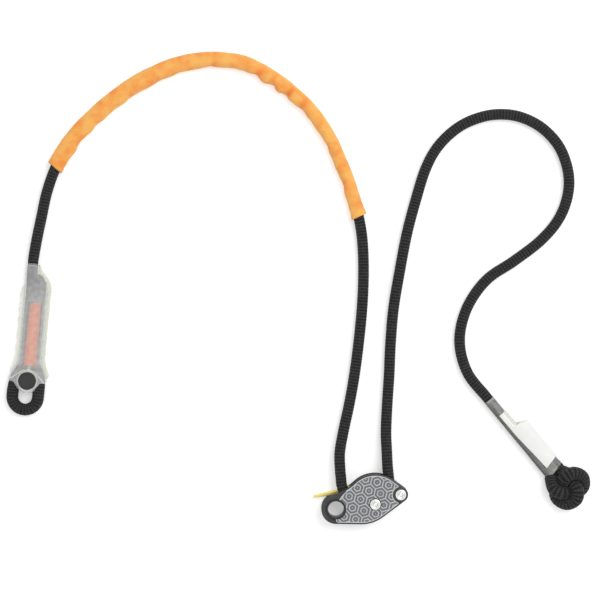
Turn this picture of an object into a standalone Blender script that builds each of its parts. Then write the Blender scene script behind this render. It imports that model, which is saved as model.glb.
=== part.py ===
"""Adjustable climbing lanyard, laid out flat: a kernmantle rope, a cam adjuster that grips it,
a fabric protector on the long side, a sewn eye under a moulded cover at one end, and a sewn end
with an overhand stopper knot at the other. Metres, +Z up. The origin is the middle of the
adjuster's footprint, on the surface that the lanyard lies on."""

import math

import bmesh
import bpy
from mathutils import Matrix, Vector

MM = 0.001

# Rope
ROPE_DIAMETER = 11.0 * MM
ROPE_SIDES_RESOLUTION = 3
REST_GAP = 0.1 * MM
TOUCH_GAP = 0.3 * MM
RUN_STEP = 26.0 * MM
TIGHT_STEP = 6.0 * MM
KNOT_STEP = 4.0 * MM

# Adjuster: centres seen from above, from the connector eye
EYE_CENTRE = Vector((-25.9, -10.65)) * MM
AXLE_FROM_EYE = Vector((41.3, 5.3)) * MM
BOLLARD_FROM_EYE = Vector((68.1, 15.4)) * MM
BELLY_FROM_EYE = Vector((26.7, 22.3)) * MM

# Adjuster: plates
PLATE_THICKNESS = 3.0 * MM
PLATE_CHAMFER = 0.8 * MM
EYE_HOLE_RADIUS = 8.5 * MM
EYE_WALL = 6.9 * MM
BELLY_RADIUS = 38.1 * MM
BOLLARD_WALL = 7.8 * MM
HUMP_RADIUS = 31.8 * MM
WAIST_RADIUS = 60.0 * MM
ARC_STEP = math.radians(7.5)

# Adjuster: rivets, bush and sleeves
RIVET_RADIUS = 2.6 * MM
RIVET_HEAD_RADIUS = 5.8 * MM
RIVET_HEAD_HEIGHT = 1.8 * MM
RIVET_FOOT_RADIUS = 5.0 * MM
RIVET_FOOT_DEPTH = 1.6 * MM
RIVET_DIMPLE_RADIUS = 2.4 * MM
RIVET_DIMPLE_DEPTH = 0.9 * MM
FOOT_RECESS = 0.2 * MM
CAM_BUSH_WALL = 0.6 * MM
BOLLARD_SLEEVE_WALL = 2.8 * MM
EYE_BUSH_WALL = 1.2 * MM
EYE_FLANGE_WIDTH = 1.3 * MM
EYE_FLANGE_HEIGHT = 0.9 * MM
EYE_SPACER_WALL = 1.6 * MM
ROUND_STEPS = 28

# Adjuster: cam, lever and spring
LEVER_THICKNESS = 2.5 * MM
CAM_HUB_RADIUS = 4.8 * MM
CAM_RISE_PER_DEGREE = 0.0082
CAM_ARM_LENGTH = 24.5 * MM
LEVER_TIP_FROM_AXLE = Vector((-63.9, 6.9)) * MM
LEVER_HUB_RADIUS = 6.6 * MM
LEVER_TIP_HALF_WIDTH = 1.5 * MM
LEVER_RIVET_RADIUS = 1.6 * MM
LEVER_RIVET_HEAD = 2.6 * MM
LEVER_RIVET_PLACES = (Vector((-3.0, 18.0)) * MM, Vector((-9.0, 12.5)) * MM)
SPRING_WIRE = 0.9 * MM
SPRING_TURNS = 3
SPRING_PITCH = 1.35 * MM
SPRING_LEG = 9.0 * MM
SPRING_STEPS = 14

# Left termination: sewn eye under a moulded cover
LEFT_PLUG_CENTRE = Vector((-351.7, 124.2)) * MM
LEFT_TILT = math.radians(-5.2)
STRAND_GAP = 0.7 * MM
COVER_CLEARANCE = 0.3 * MM
LEFT_COVER_WALL = 1.6 * MM
LEFT_COVER_LENGTH = 124.0 * MM
LEFT_TAIL_LENGTH = 100.0 * MM
LEFT_FLARE_HALF_WIDTH = 21.2 * MM
LEFT_NOSE = 13.0 * MM
EYE_HALF_WIDTH = 15.2 * MM
EYE_LENGTH = 30.8 * MM
EYE_DROOP = 1.4 * MM
CROTCH_LENGTH = 22.0 * MM
FLANGE_HALF_WIDTH = 16.6 * MM
FLANGE_THICKNESS = 3.0 * MM
FLANGE_TOP = 97.0 * MM
PLUG_RADIUS = 9.3 * MM
PLUG_FLANGE = 2.0 * MM
PLUG_DISH_RADIUS = 6.4 * MM
PLUG_DISH_DEPTH = 0.9 * MM
PLUG_STEM_RADIUS = 4.0 * MM
PLUG_SOCKET_WALL = 1.1 * MM
# A seam is its start and length along the rope, its half width and its height above the strands.
LEFT_SEAM = (16.0 * MM, 67.0 * MM, 6.0 * MM, 0.7 * MM)

# Right termination: sewn end under a shrink sleeve, label, stopper knot
RIGHT_SLEEVE_END = Vector((204.2, 30.5)) * MM
RIGHT_TILT = math.radians(-50.5)
RIGHT_COVER_WALL = 0.8 * MM
RIGHT_COVER_LENGTH = 100.0 * MM
RIGHT_TAIL_LENGTH = 57.0 * MM
RIGHT_SEAM = (-52.0 * MM, 32.0 * MM, 3.9 * MM, 0.2 * MM)
LABEL_LENGTH = 73.6 * MM
LABEL_FROM_END = 6.5 * MM
LABEL_THICKNESS = 0.5 * MM
KNOT_CENTRE_FROM_SLEEVE = 22.5 * MM
KNOT_RING_RADIUS = 13.4 * MM
KNOT_SWAY = 6.2 * MM
KNOT_LIFT = 6.4 * MM
KNOT_TURN = math.radians(10)
KNOT_OPENING = math.radians(28)

# Protector: a fabric tube around the long side of the rope
PROTECTOR_START = 104.0 * MM
PROTECTOR_LENGTH = 457.0 * MM
PROTECTOR_HALF_WIDTHS = ((0.0, 9.4 * MM), (0.1, 8.8 * MM), (0.3, 9.3 * MM), (0.5, 7.9 * MM), (0.8, 7.8 * MM),
                         (1.0, 8.4 * MM))
PROTECTOR_WALL = 0.9 * MM
PROTECTOR_WAVE = 0.4 * MM
PROTECTOR_STEP = 14.0 * MM
PROTECTOR_SIDES = 14

# Heights worked out from the sizes above
ROPE_RADIUS = ROPE_DIAMETER / 2
LEVER_BOTTOM = PLATE_THICKNESS + TOUCH_GAP
LEVER_TOP = LEVER_BOTTOM + LEVER_THICKNESS
CAM_BOTTOM = LEVER_TOP + TOUCH_GAP
ADJUSTER_ROPE_HEIGHT = CAM_BOTTOM + ROPE_RADIUS
FRONT_PLATE_BOTTOM = CAM_BOTTOM + ROPE_DIAMETER + TOUCH_GAP
FRONT_PLATE_TOP = FRONT_PLATE_BOTTOM + PLATE_THICKNESS
CAM_TOP = FRONT_PLATE_BOTTOM - TOUCH_GAP
LYING_HEIGHT = ROPE_RADIUS + REST_GAP
STRAND_OFFSET = ROPE_RADIUS + STRAND_GAP / 2
LEFT_HALF_HEIGHT = ROPE_RADIUS + COVER_CLEARANCE + LEFT_COVER_WALL
RIGHT_HALF_HEIGHT = ROPE_RADIUS + COVER_CLEARANCE + RIGHT_COVER_WALL

AXLE_CENTRE = EYE_CENTRE + AXLE_FROM_EYE
BOLLARD_CENTRE = EYE_CENTRE + BOLLARD_FROM_EYE

# Rope routes seen from above, in millimetres, with the lift above the surface it lies on.
# The long side runs from the left cover's mouth to the adjuster.
LEFT_ROUTE = [
    (-342.6, 273, 0.6), (-337.5, 298, 0), (-331.5, 325, 0), (-321, 353, 0.8), (-304, 380, 1.4),
    (-281, 404.5, 1.4), (-249, 430.5, 1.4), (-217, 449, 1.4), (-186, 460.5, 1.4), (-154, 464.3, 1.4),
    (-122, 460, 1.4), (-90, 443, 1.4), (-58.5, 417, 1.4), (-35, 386, 1.4), (-16, 344, 1.4),
    (-4.5, 308, 1.2), (1, 283, 0.4), (3.2, 257, 0), (3.3, 228, 0), (1.5, 196, 0), (-2.2, 160, 0),
    (-6.5, 128, 0), (-11.5, 100, 0.2), (-18, 70, 2.2), (-21.8, 48, 4.6),
]
# The short side runs from the adjuster to the right sleeve's mouth.
RIGHT_ROUTE = [
    (27.9, 50, 4.6), (27.2, 70, 2.2), (28.6, 100, 0.2), (30.6, 130, 0), (32.0, 162, 0), (35.2, 200, 0),
    (42, 241, 0), (49.5, 280, 0), (59, 316, 0), (69.5, 349, 0), (83, 373, 0), (104, 392.5, 0),
    (127, 403, 0), (149, 406.3, 0), (171, 403, 0), (193, 391.5, 0), (211, 371.5, 0), (220.3, 345, 0),
    (219.7, 320, 0), (210, 295, 0), (191, 272.5, 0), (163, 251, 0), (135, 232, 0), (116, 207, 0),
    (106.5, 180, 0), (106.3, 155, 0), (115, 130, 0.4),
]
# Inside the adjuster, from the connector eye: in past the eye, under the cam, up past the bollard.
ADJUSTER_ROUTE = [
    (5.2, 33.5), (6.1, 25), (9.1, 17.4), (14.2, 10.9), (20.6, 4.2), (27.6, -1.8), (34.8, -5.1),
    (41.3, -5.5), (47.6, -3.4), (52.2, 0.6), (55.2, 5.8), (56.7, 12), (56.9, 20), (56.1, 29), (55.2, 38),
]


def clear_scene():
    for obj in list(bpy.data.objects):
        bpy.data.objects.remove(obj, do_unlink=True)


def material(name, colour, roughness, metallic=0.0, alpha=1.0):
    made = bpy.data.materials.new(name)
    made.use_nodes = True
    shader = made.node_tree.nodes["Principled BSDF"]
    shader.inputs["Base Color"].default_value = (*colour, 1.0)
    shader.inputs["Roughness"].default_value = roughness
    shader.inputs["Metallic"].default_value = metallic
    shader.inputs["Alpha"].default_value = alpha
    return made


def empty(name, place, turn=0.0):
    holder = bpy.data.objects.new(name, None)
    holder.location = (place[0], place[1], 0.0)
    holder.rotation_euler = (0.0, 0.0, turn)
    bpy.context.scene.collection.objects.link(holder)
    return holder


def finish_object(obj, look, parent):
    bpy.context.scene.collection.objects.link(obj)
    obj.parent = parent
    if look is not None:
        obj.data.materials.append(look)
    return obj


def object_from_rings(name, rings, look, parent, closed_rings=False):
    """A solid skinned over rings of points. The rings either close on each other or are capped."""
    mesh = bmesh.new()
    rows = [[mesh.verts.new(point) for point in ring] for ring in rings]
    count = len(rows[0])
    pairs = list(zip(rows, rows[1:]))
    if closed_rings:
        pairs.append((rows[-1], rows[0]))
    for first, second in pairs:
        for i in range(count):
            j = (i + 1) % count
            mesh.faces.new((first[i], first[j], second[j], second[i]))
    if not closed_rings:
        mesh.faces.new(list(reversed(rows[0])))
        mesh.faces.new(rows[-1])
    bmesh.ops.recalc_face_normals(mesh, faces=mesh.faces)
    data = bpy.data.meshes.new(name)
    mesh.to_mesh(data)
    mesh.free()
    data.shade_smooth()
    data.set_sharp_from_angle(angle=math.radians(35))
    return finish_object(bpy.data.objects.new(name, data), look, parent)


def turned_solid(name, profile, look, parent, centre=(0.0, 0.0), steps=ROUND_STEPS):
    """A profile of (radius, height) points turned about an upright line. It may start on that line."""
    mesh = bmesh.new()
    rows = []
    for radius, height in profile:
        if radius < 1e-9:
            rows.append([mesh.verts.new((centre[0], centre[1], height))])
            continue
        turns = [2 * math.pi * i / steps for i in range(steps)]
        rows.append([
            mesh.verts.new((centre[0] + radius * math.cos(a), centre[1] + radius * math.sin(a), height))
            for a in turns
        ])
    on_axis = len(rows[0]) == 1
    pairs = list(zip(rows, rows[1:])) + ([] if on_axis else [(rows[-1], rows[0])])
    for first, second in pairs:
        for i in range(steps):
            j = (i + 1) % steps
            if len(first) == 1:
                mesh.faces.new((first[0], second[j], second[i]))
            elif len(second) == 1:
                mesh.faces.new((first[i], first[j], second[0]))
            else:
                mesh.faces.new((first[i], first[j], second[j], second[i]))
    bmesh.ops.recalc_face_normals(mesh, faces=mesh.faces)
    data = bpy.data.meshes.new(name)
    mesh.to_mesh(data)
    mesh.free()
    data.shade_smooth()
    data.set_sharp_from_angle(angle=math.radians(35))
    return finish_object(bpy.data.objects.new(name, data), look, parent)


def as_cutter(obj):
    obj.hide_render = True
    obj.display_type = "WIRE"
    return obj


def boolean(obj, other, operation="DIFFERENCE"):
    step = obj.modifiers.new(operation.lower() + " " + other.name, "BOOLEAN")
    step.operation = operation
    step.object = other
    return obj


def arc(centre, radius, start, end):
    """Points along an arc that runs anticlockwise from one angle to the other."""
    sweep = (end - start) % (2 * math.pi)
    count = max(2, math.ceil(sweep / ARC_STEP))
    angles = [start + sweep * i / count for i in range(count + 1)]
    return [Vector((centre[0] + radius * math.cos(a), centre[1] + radius * math.sin(a))) for a in angles]


def tangent_angle(first, first_radius, second, second_radius):
    """The direction of the outer normal of the line that touches two circles, on their right side."""
    line = second - first
    heading = math.atan2(line.y, line.x)
    return heading - math.acos((first_radius - second_radius) / line.length)


def waist_circle(first, first_radius, second, second_radius, radius):
    """The centre of the circle outside two circles that touches both, left of the line between them."""
    line = second - first
    reach_first, reach_second = first_radius + radius, second_radius + radius
    along = (reach_first**2 - reach_second**2 + line.length_squared) / (2 * line.length)
    across = math.sqrt(reach_first**2 - along**2)
    unit = line.normalized()
    return first + unit * along + Vector((-unit.y, unit.x)) * across


def heading_of(line):
    return math.atan2(line.y, line.x)


def plate_outline():
    """The side plates' outline from the connector eye: eye end, belly, bollard end, hump and waist."""
    eye, eye_radius = Vector((0.0, 0.0)), EYE_HOLE_RADIUS + EYE_WALL
    belly, bollard, hump = BELLY_FROM_EYE, BOLLARD_FROM_EYE, AXLE_FROM_EYE
    waist = waist_circle(eye, eye_radius, hump, HUMP_RADIUS, WAIST_RADIUS)
    eye_to_belly = tangent_angle(eye, eye_radius, belly, BELLY_RADIUS)
    belly_to_bollard = tangent_angle(belly, BELLY_RADIUS, bollard, BOLLARD_WALL)
    bollard_to_hump = tangent_angle(bollard, BOLLARD_WALL, hump, HUMP_RADIUS)
    to_hump, to_eye = heading_of(hump - waist), heading_of(eye - waist)
    outline = arc(eye, eye_radius, to_eye + math.pi, eye_to_belly)
    outline += arc(belly, BELLY_RADIUS, eye_to_belly, belly_to_bollard)
    outline += arc(bollard, BOLLARD_WALL, belly_to_bollard, bollard_to_hump)
    outline += arc(hump, HUMP_RADIUS, bollard_to_hump, to_hump + math.pi)
    outline += list(reversed(arc(waist, WAIST_RADIUS, to_eye, to_hump)))[1:-1]
    return outline


def inset(outline, distance):
    """The outline drawn in by a distance, each corner along the mean of its two inward normals."""
    moved = []
    for i, point in enumerate(outline):
        before, after = outline[i - 1], outline[(i + 1) % len(outline)]
        first, second = (point - before).normalized(), (after - point).normalized()
        inward = (Vector((-first.y, first.x)) + Vector((-second.y, second.x))).normalized()
        moved.append(point + inward * distance)
    return moved


def plate(name, outline, bottom, top, chamfer, look, parent):
    """A flat plate with both rims chamfered."""
    narrow = inset(outline, chamfer)
    levels = [(narrow, bottom), (outline, bottom + chamfer), (outline, top - chamfer), (narrow, top)]
    rings = [[(p.x, p.y, height) for p in ring] for ring, height in levels]
    return object_from_rings(name, rings, look, parent)


def smooth_points(points, step):
    """Points a step apart along a Catmull-Rom curve through the given ones."""
    knots = [2 * points[0] - points[1], *points, 2 * points[-1] - points[-2]]
    dense = []
    for a, b, c, d in zip(knots, knots[1:], knots[2:], knots[3:]):
        for i in range(16):
            t = i / 16
            dense.append(
                0.5 * (2 * b + (c - a) * t + (2 * a - 5 * b + 4 * c - d) * t**2
                       + (3 * b - a - 3 * c + d) * t**3)
            )
    dense.append(points[-1])
    return respaced(dense, step)


def respaced(dense, step):
    lengths = [0.0]
    for a, b in zip(dense, dense[1:]):
        lengths.append(lengths[-1] + (b - a).length)
    count = max(2, round(lengths[-1] / step))
    spaced, at = [], 0
    for i in range(count + 1):
        target = lengths[-1] * i / count
        while at < len(dense) - 2 and lengths[at + 1] < target:
            at += 1
        share = (target - lengths[at]) / max(lengths[at + 1] - lengths[at], 1e-12)
        spaced.append(dense[at].lerp(dense[at + 1], min(1.0, share)))
    return spaced


def thinned(points, longest=30 * MM, bend=0.03 * MM):
    """The points of a line without those that a straight stretch between its neighbours already passes."""
    kept = [points[0]]
    for point, ahead in zip(points[1:-1], points[2:]):
        line = ahead - kept[-1]
        off = (point - kept[-1]) - line * ((point - kept[-1]).dot(line) / line.length_squared)
        if off.length > bend or line.length > longest:
            kept.append(point)
    return [*kept, points[-1]]


def length_of(points):
    return sum((b - a).length for a, b in zip(points, points[1:]))


def rope_tube(name, points, radius, look, parent, resolution=ROPE_SIDES_RESOLUTION):
    """A rope as a curve object: a round bevel on one open poly line, with filled ends."""
    data = bpy.data.curves.new(name, "CURVE")
    data.dimensions = "3D"
    data.bevel_depth = radius
    data.bevel_resolution = resolution
    data.use_fill_caps = True
    spline = data.splines.new("POLY")
    spline.points.add(len(points) - 1)
    for spline_point, point in zip(spline.points, points):
        spline_point.co = (*point, 1.0)
    return finish_object(bpy.data.objects.new(name, data), look, parent)


def tube_cutter(name, points, radius, parent):
    """The same tube as a mesh, for a Boolean."""
    curve = rope_tube(name + " line", points, radius, None, None)
    data = bpy.data.meshes.new_from_object(curve)
    bpy.data.objects.remove(curve, do_unlink=True)
    mesh = bmesh.new()
    mesh.from_mesh(data)
    bmesh.ops.remove_doubles(mesh, verts=mesh.verts, dist=1e-6)
    bmesh.ops.recalc_face_normals(mesh, faces=mesh.faces)
    mesh.to_mesh(data)
    mesh.free()
    return as_cutter(finish_object(bpy.data.objects.new(name, data), None, parent))


def cut_channels(cover, name, main_strand, tail_strand, parent):
    """Two channels with clearance, one for each strand, because they overlap where the strands touch."""
    for number, strand in enumerate((main_strand, tail_strand), 1):
        cutter = tube_cutter(f"{name} {number}", strand, ROPE_RADIUS + COVER_CLEARANCE, parent)
        boolean(cover, cutter)


def box_cutter(name, low, high, parent):
    corners = [(low[0], low[1]), (high[0], low[1]), (high[0], high[1]), (low[0], high[1])]
    rings = [[(x, y, height) for x, y in corners] for height in (low[2], high[2])]
    return as_cutter(object_from_rings(name, rings, None, parent))


def least_gap_to_itself(points, diameter):
    """The smallest gap between stretches of one tube that are over two diameters apart along it."""
    step = diameter / 6
    fine = respaced(points, step)
    apart = [
        (fine[i] - fine[j]).length
        for i in range(len(fine))
        for j in range(i)
        if (i - j) * step > 2.1 * diameter
    ]
    return min(apart) - diameter


def rivet_profile(clearance=0.0):
    """A rivet from its countersunk foot in the rear plate to its domed head on the front plate.
    With a clearance it is the cutter for its holes, and runs straight out past both faces."""
    shank, foot = RIVET_RADIUS + clearance, RIVET_FOOT_RADIUS + clearance
    if clearance:
        return [
            (0.0, -FOOT_RECESS), (foot, -FOOT_RECESS), (foot, FOOT_RECESS), (shank, RIVET_FOOT_DEPTH),
            (shank, FRONT_PLATE_TOP + PLATE_THICKNESS), (0.0, FRONT_PLATE_TOP + PLATE_THICKNESS),
        ]
    under, top = FRONT_PLATE_TOP + TOUCH_GAP, FRONT_PLATE_TOP + TOUCH_GAP + RIVET_HEAD_HEIGHT
    bevel = RIVET_HEAD_HEIGHT / 3
    return [
        (0.0, FOOT_RECESS), (foot, FOOT_RECESS), (shank, RIVET_FOOT_DEPTH), (shank, under),
        (RIVET_HEAD_RADIUS, under), (RIVET_HEAD_RADIUS, top - bevel), (RIVET_HEAD_RADIUS - bevel, top),
        (RIVET_DIMPLE_RADIUS, top), (RIVET_DIMPLE_RADIUS * 0.75, top - RIVET_DIMPLE_DEPTH),
        (0.0, top - RIVET_DIMPLE_DEPTH),
    ]


def make_plates(looks, holder):
    outline = plate_outline()
    rear = plate("rear_side_plate", outline, 0.0, PLATE_THICKNESS, PLATE_CHAMFER, looks["black alloy"], holder)
    front = plate("front_side_plate", outline, FRONT_PLATE_BOTTOM, FRONT_PLATE_TOP, PLATE_CHAMFER,
                  looks["grey alloy"], holder)
    for place, label in ((AXLE_FROM_EYE, "axle hole"), (BOLLARD_FROM_EYE, "bollard hole")):
        hole = as_cutter(turned_solid(label, rivet_profile(TOUCH_GAP), None, holder, place))
        boolean(rear, hole)
        boolean(front, hole)
    tube = EYE_HOLE_RADIUS + EYE_BUSH_WALL + TOUCH_GAP
    flange = tube + EYE_FLANGE_WIDTH
    seat_low, seat_high = EYE_FLANGE_HEIGHT + TOUCH_GAP, FRONT_PLATE_TOP - EYE_FLANGE_HEIGHT - TOUCH_GAP
    above, below = FRONT_PLATE_TOP + PLATE_THICKNESS, -PLATE_THICKNESS
    profile = [(0.0, below), (flange, below), (flange, seat_low), (tube, seat_low), (tube, seat_high),
               (flange, seat_high), (flange, above), (0.0, above)]
    hole = as_cutter(turned_solid("eye hole", profile, None, holder))
    boolean(rear, hole)
    boolean(front, hole)


def make_eye(looks, holder):
    """The flared bush that lines the connector eye, and the ring that holds the plates apart."""
    inner, tube = EYE_HOLE_RADIUS, EYE_HOLE_RADIUS + EYE_BUSH_WALL
    flange = tube + EYE_FLANGE_WIDTH
    low, high = FOOT_RECESS, FRONT_PLATE_TOP
    profile = [(inner, low), (flange, low), (flange, low + EYE_FLANGE_HEIGHT - FOOT_RECESS),
               (tube, low + EYE_FLANGE_HEIGHT - FOOT_RECESS), (tube, high - EYE_FLANGE_HEIGHT),
               (flange, high - EYE_FLANGE_HEIGHT), (flange, high), (inner, high)]
    turned_solid("eye_bush", profile, looks["black steel"], holder, steps=32)
    ring = tube + TOUCH_GAP
    low, high = PLATE_THICKNESS + TOUCH_GAP, FRONT_PLATE_BOTTOM - TOUCH_GAP
    outer = ring + EYE_SPACER_WALL
    turned_solid("eye_spacer", [(ring, low), (outer, low), (outer, high), (ring, high)],
                 looks["black alloy"], holder, steps=32)


def make_bollard(looks, holder):
    turned_solid("bollard_rivet", rivet_profile(), looks["steel"], holder, BOLLARD_FROM_EYE)
    inner = RIVET_RADIUS + TOUCH_GAP
    low, high = PLATE_THICKNESS + TOUCH_GAP, FRONT_PLATE_BOTTOM - TOUCH_GAP
    outer = inner + BOLLARD_SLEEVE_WALL
    turned_solid("bollard_sleeve", [(inner, low), (outer, low), (outer, high), (inner, high)],
                 looks["steel"], holder, BOLLARD_FROM_EYE)


def cam_outline():
    """The cam about its axle: a round hub, a bite along a logarithmic spiral, and an arm into the hump."""
    hub, arm = CAM_HUB_RADIUS, CAM_ARM_LENGTH
    shape = [(angle, hub * math.exp(CAM_RISE_PER_DEGREE * (angle + 30))) for angle in range(-30, 56, 12)]
    nose = shape[-1][1]
    shape += [
        (64, nose + 0.16 * (arm - nose)), (74, nose + 0.42 * (arm - nose)), (83, nose + 0.74 * (arm - nose)),
        (91, nose + 0.97 * (arm - nose)), (99, arm), (107, arm), (115, arm - 0.04 * (arm - hub)),
        (124, arm - 0.16 * (arm - hub)), (136, hub + 0.52 * (arm - hub)), (152, hub + 0.26 * (arm - hub)),
        (172, hub + 0.09 * (arm - hub)),
    ]
    shape += [(angle, hub) for angle in range(195, 320, 20)]
    return [
        Vector((radius * math.cos(math.radians(angle)), radius * math.sin(math.radians(angle))))
        for angle, radius in shape
    ]


def lever_outline():
    """A plate round the axle that narrows to a finger beyond the connector eye."""
    tip, root = LEVER_TIP_FROM_AXLE, LEVER_HUB_RADIUS
    spine = [Vector((0.0, 0.0)), Vector((-7.0, 13.0)) * MM, Vector((-19.5, 17.0)) * MM,
             tip.lerp(Vector((-19.5, 17.0)) * MM, 0.5), tip]
    widths = [root, 0.85 * root, 0.6 * root, (0.45 * root + LEVER_TIP_HALF_WIDTH) / 2 + 0.2 * MM,
              LEVER_TIP_HALF_WIDTH]
    spine = [Vector((p.x, p.y, w)) for p, w in zip(spine, widths)]
    smooth = smooth_points(spine, 5.0 * MM)
    left, right = [], []
    for i, point in enumerate(smooth):
        ahead = smooth[min(i + 1, len(smooth) - 1)] - smooth[max(i - 1, 0)]
        ahead = Vector((ahead.x, ahead.y)).normalized()
        side = Vector((-ahead.y, ahead.x)) * point.z
        left.append(Vector((point.x, point.y)) + side)
        right.append(Vector((point.x, point.y)) - side)
    start = heading_of(left[0])
    root_end = arc((0.0, 0.0), root, start, start + math.pi)[1:-1]
    point = heading_of(right[-1] - tip)
    tip_end = arc(tip, LEVER_TIP_HALF_WIDTH, point, point + math.pi)[1:-1]
    return left[:1] + root_end + right + tip_end + list(reversed(left[1:]))


def make_cam(looks, holder):
    """The cam, its bush and axle, the release lever under it, its two rivets and the spring."""
    turned_solid("axle_rivet", rivet_profile(), looks["steel"], holder, AXLE_FROM_EYE)
    pivot = empty("cam pivot", AXLE_FROM_EYE)
    pivot.parent = holder
    bush_inner = RIVET_RADIUS + TOUCH_GAP
    bush_outer = bush_inner + CAM_BUSH_WALL
    bore = bush_outer + TOUCH_GAP
    low, high = LEVER_BOTTOM, CAM_TOP
    turned_solid("cam_bush", [(bush_inner, low), (bush_outer, low), (bush_outer, high), (bush_inner, high)],
                 looks["bronze"], pivot)
    bore_cutter = as_cutter(turned_solid(
        "cam bore", [(0.0, 0.0), (bore, 0.0), (bore, FRONT_PLATE_TOP), (0.0, FRONT_PLATE_TOP)], None, pivot))
    spring_room = SPRING_TURNS * SPRING_PITCH + SPRING_WIRE + TOUCH_GAP
    pocket_radius = bush_outer + 2 * TOUCH_GAP + SPRING_WIRE + TOUCH_GAP
    pocket_floor = CAM_TOP - spring_room
    pocket = as_cutter(turned_solid(
        "spring pocket", [(0.0, pocket_floor), (pocket_radius, pocket_floor),
                          (pocket_radius, FRONT_PLATE_TOP), (0.0, FRONT_PLATE_TOP)], None, pivot))
    cam = plate("cam", cam_outline(), CAM_BOTTOM, CAM_TOP, PLATE_CHAMFER / 2, looks["steel"], pivot)
    lever = plate("release_lever", lever_outline(), LEVER_BOTTOM, LEVER_TOP, PLATE_CHAMFER / 2,
                  looks["yellow alloy"], pivot)
    for part in (cam, lever):
        boolean(part, bore_cutter)
    boolean(cam, pocket)
    for number, place in enumerate(LEVER_RIVET_PLACES, 1):
        make_lever_rivet(number, place, cam, lever, looks, pivot)
    make_spring(bush_outer, pocket_floor, pocket_radius, cam, looks, pivot)


def make_lever_rivet(number, place, cam, lever, looks, pivot):
    """A small rivet, flush in the lever and headed in a recess on top of the cam."""
    shank, head = LEVER_RIVET_RADIUS, LEVER_RIVET_HEAD
    low, high = LEVER_BOTTOM + FOOT_RECESS, CAM_TOP - FOOT_RECESS
    seat = high - PLATE_CHAMFER
    turned_solid(f"lever_rivet_{number}", [(0.0, low), (shank, low), (shank, seat), (head, seat), (head, high),
                                           (0.0, high)], looks["steel"], pivot, place, steps=16)
    wide, narrow = head + TOUCH_GAP, shank + TOUCH_GAP
    profile = [(0.0, 0.0), (narrow, 0.0), (narrow, seat - TOUCH_GAP), (wide, seat - TOUCH_GAP),
               (wide, FRONT_PLATE_TOP), (0.0, FRONT_PLATE_TOP)]
    hole = as_cutter(turned_solid(f"lever rivet hole {number}", profile, None, pivot, place, steps=16))
    boolean(cam, hole)
    boolean(lever, hole)


def make_spring(bush_outer, pocket_floor, pocket_radius, cam, looks, pivot):
    """A torsion spring round the bush. Its lower leg lies in a slot of the cam."""
    radius = bush_outer + 2 * TOUCH_GAP + SPRING_WIRE / 2
    bottom = pocket_floor + TOUCH_GAP + SPRING_WIRE / 2
    steps = SPRING_TURNS * SPRING_STEPS
    turn = [
        Vector((radius * math.cos(a), radius * math.sin(a), bottom + SPRING_PITCH * a / (2 * math.pi)))
        for a in (2 * math.pi * i / SPRING_STEPS for i in range(steps + 1))
    ]
    # The coil leaves along its tangents, so the lower leg points down -Y and the upper one up +Y.
    lower = [Vector((radius, -radius * 0.55, bottom))]
    upper = [turn[-1] + Vector((0.0, SPRING_LEG * share, 0.0)) for share in (0.5, 1.0)]
    points = lower + turn + upper
    print("spring: least gap to itself", round(least_gap_to_itself(points, SPRING_WIRE) / MM, 2), "mm")
    rope_tube("return_spring", points, SPRING_WIRE / 2, looks["spring steel"], pivot, resolution=1)
    leg_room = SPRING_WIRE / 2 + TOUCH_GAP
    slot = box_cutter("spring leg slot", (radius - leg_room, 0.0, turn[-1].z - leg_room),
                      (radius + leg_room, radius + SPRING_LEG + TOUCH_GAP, FRONT_PLATE_TOP), pivot)
    boolean(cam, slot)


def adjuster_rope_points():
    route = [Vector((x * MM, y * MM, ADJUSTER_ROPE_HEIGHT)) for x, y in ADJUSTER_ROUTE]
    return smooth_points(route, TIGHT_STEP)


def make_adjuster(looks):
    holder = empty("adjuster", EYE_CENTRE)
    make_plates(looks, holder)
    make_eye(looks, holder)
    make_bollard(looks, holder)
    make_cam(looks, holder)
    rope_tube("rope_in_adjuster", adjuster_rope_points(), ROPE_RADIUS, looks["rope"], holder)


def lofted_cover(name, stations, look, parent, along_x, sides=22):
    """A shell of rounded-box sections. A station is (place along, centre across, half width, half height).
    Every section stands on the surface, so its middle is half its height up."""
    roundness = 2.5
    rings = []
    for place, across, half_width, half_height in stations:
        ring = []
        for i in range(sides):
            angle = 2 * math.pi * i / sides
            c, s = math.cos(angle), math.sin(angle)
            x = across + half_width * math.copysign(abs(c) ** (2 / roundness), c)
            z = max(s_h[3] for s_h in stations) + half_height * math.copysign(abs(s) ** (2 / roundness), s)
            ring.append((place, x, z) if along_x else (x, place, z))
        rings.append(ring)
    return object_from_rings(name, rings, look, parent)


def stitching(name, side, seam, strand_height, look, parent, along_x):
    """Bar-tack thread in the valley between two strands, above them (side 1) or below (side -1)."""
    start, length, half, proud = seam
    reach = ROPE_RADIUS + TOUCH_GAP
    across = [half * (i / 8 - 1) for i in range(17)]
    under = [(x, math.sqrt(max(reach**2 - (abs(x) - STRAND_OFFSET) ** 2, 0.0))) for x in across]
    top = ROPE_RADIUS + proud
    section = under + [(half, top), (-half, top)]
    rings = []
    for place in (start, start + length):
        ring = [(x, strand_height + side * z) for x, z in section]
        rings.append([(place, x, z) if along_x else (x, place, z) for x, z in ring])
    return object_from_rings(name, rings, look, parent)


def seam_pocket(name, seam, strand_height, parent, along_x):
    start, length, half, proud = seam
    half += TOUCH_GAP
    high = ROPE_RADIUS + proud + TOUCH_GAP
    low = (-half, start - TOUCH_GAP, strand_height - high)
    top = (half, start + length + TOUCH_GAP, strand_height + high)
    if along_x:
        low, top = (low[1], low[0], low[2]), (top[1], top[0], top[2])
    return box_cutter(name, low, top, parent)


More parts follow.
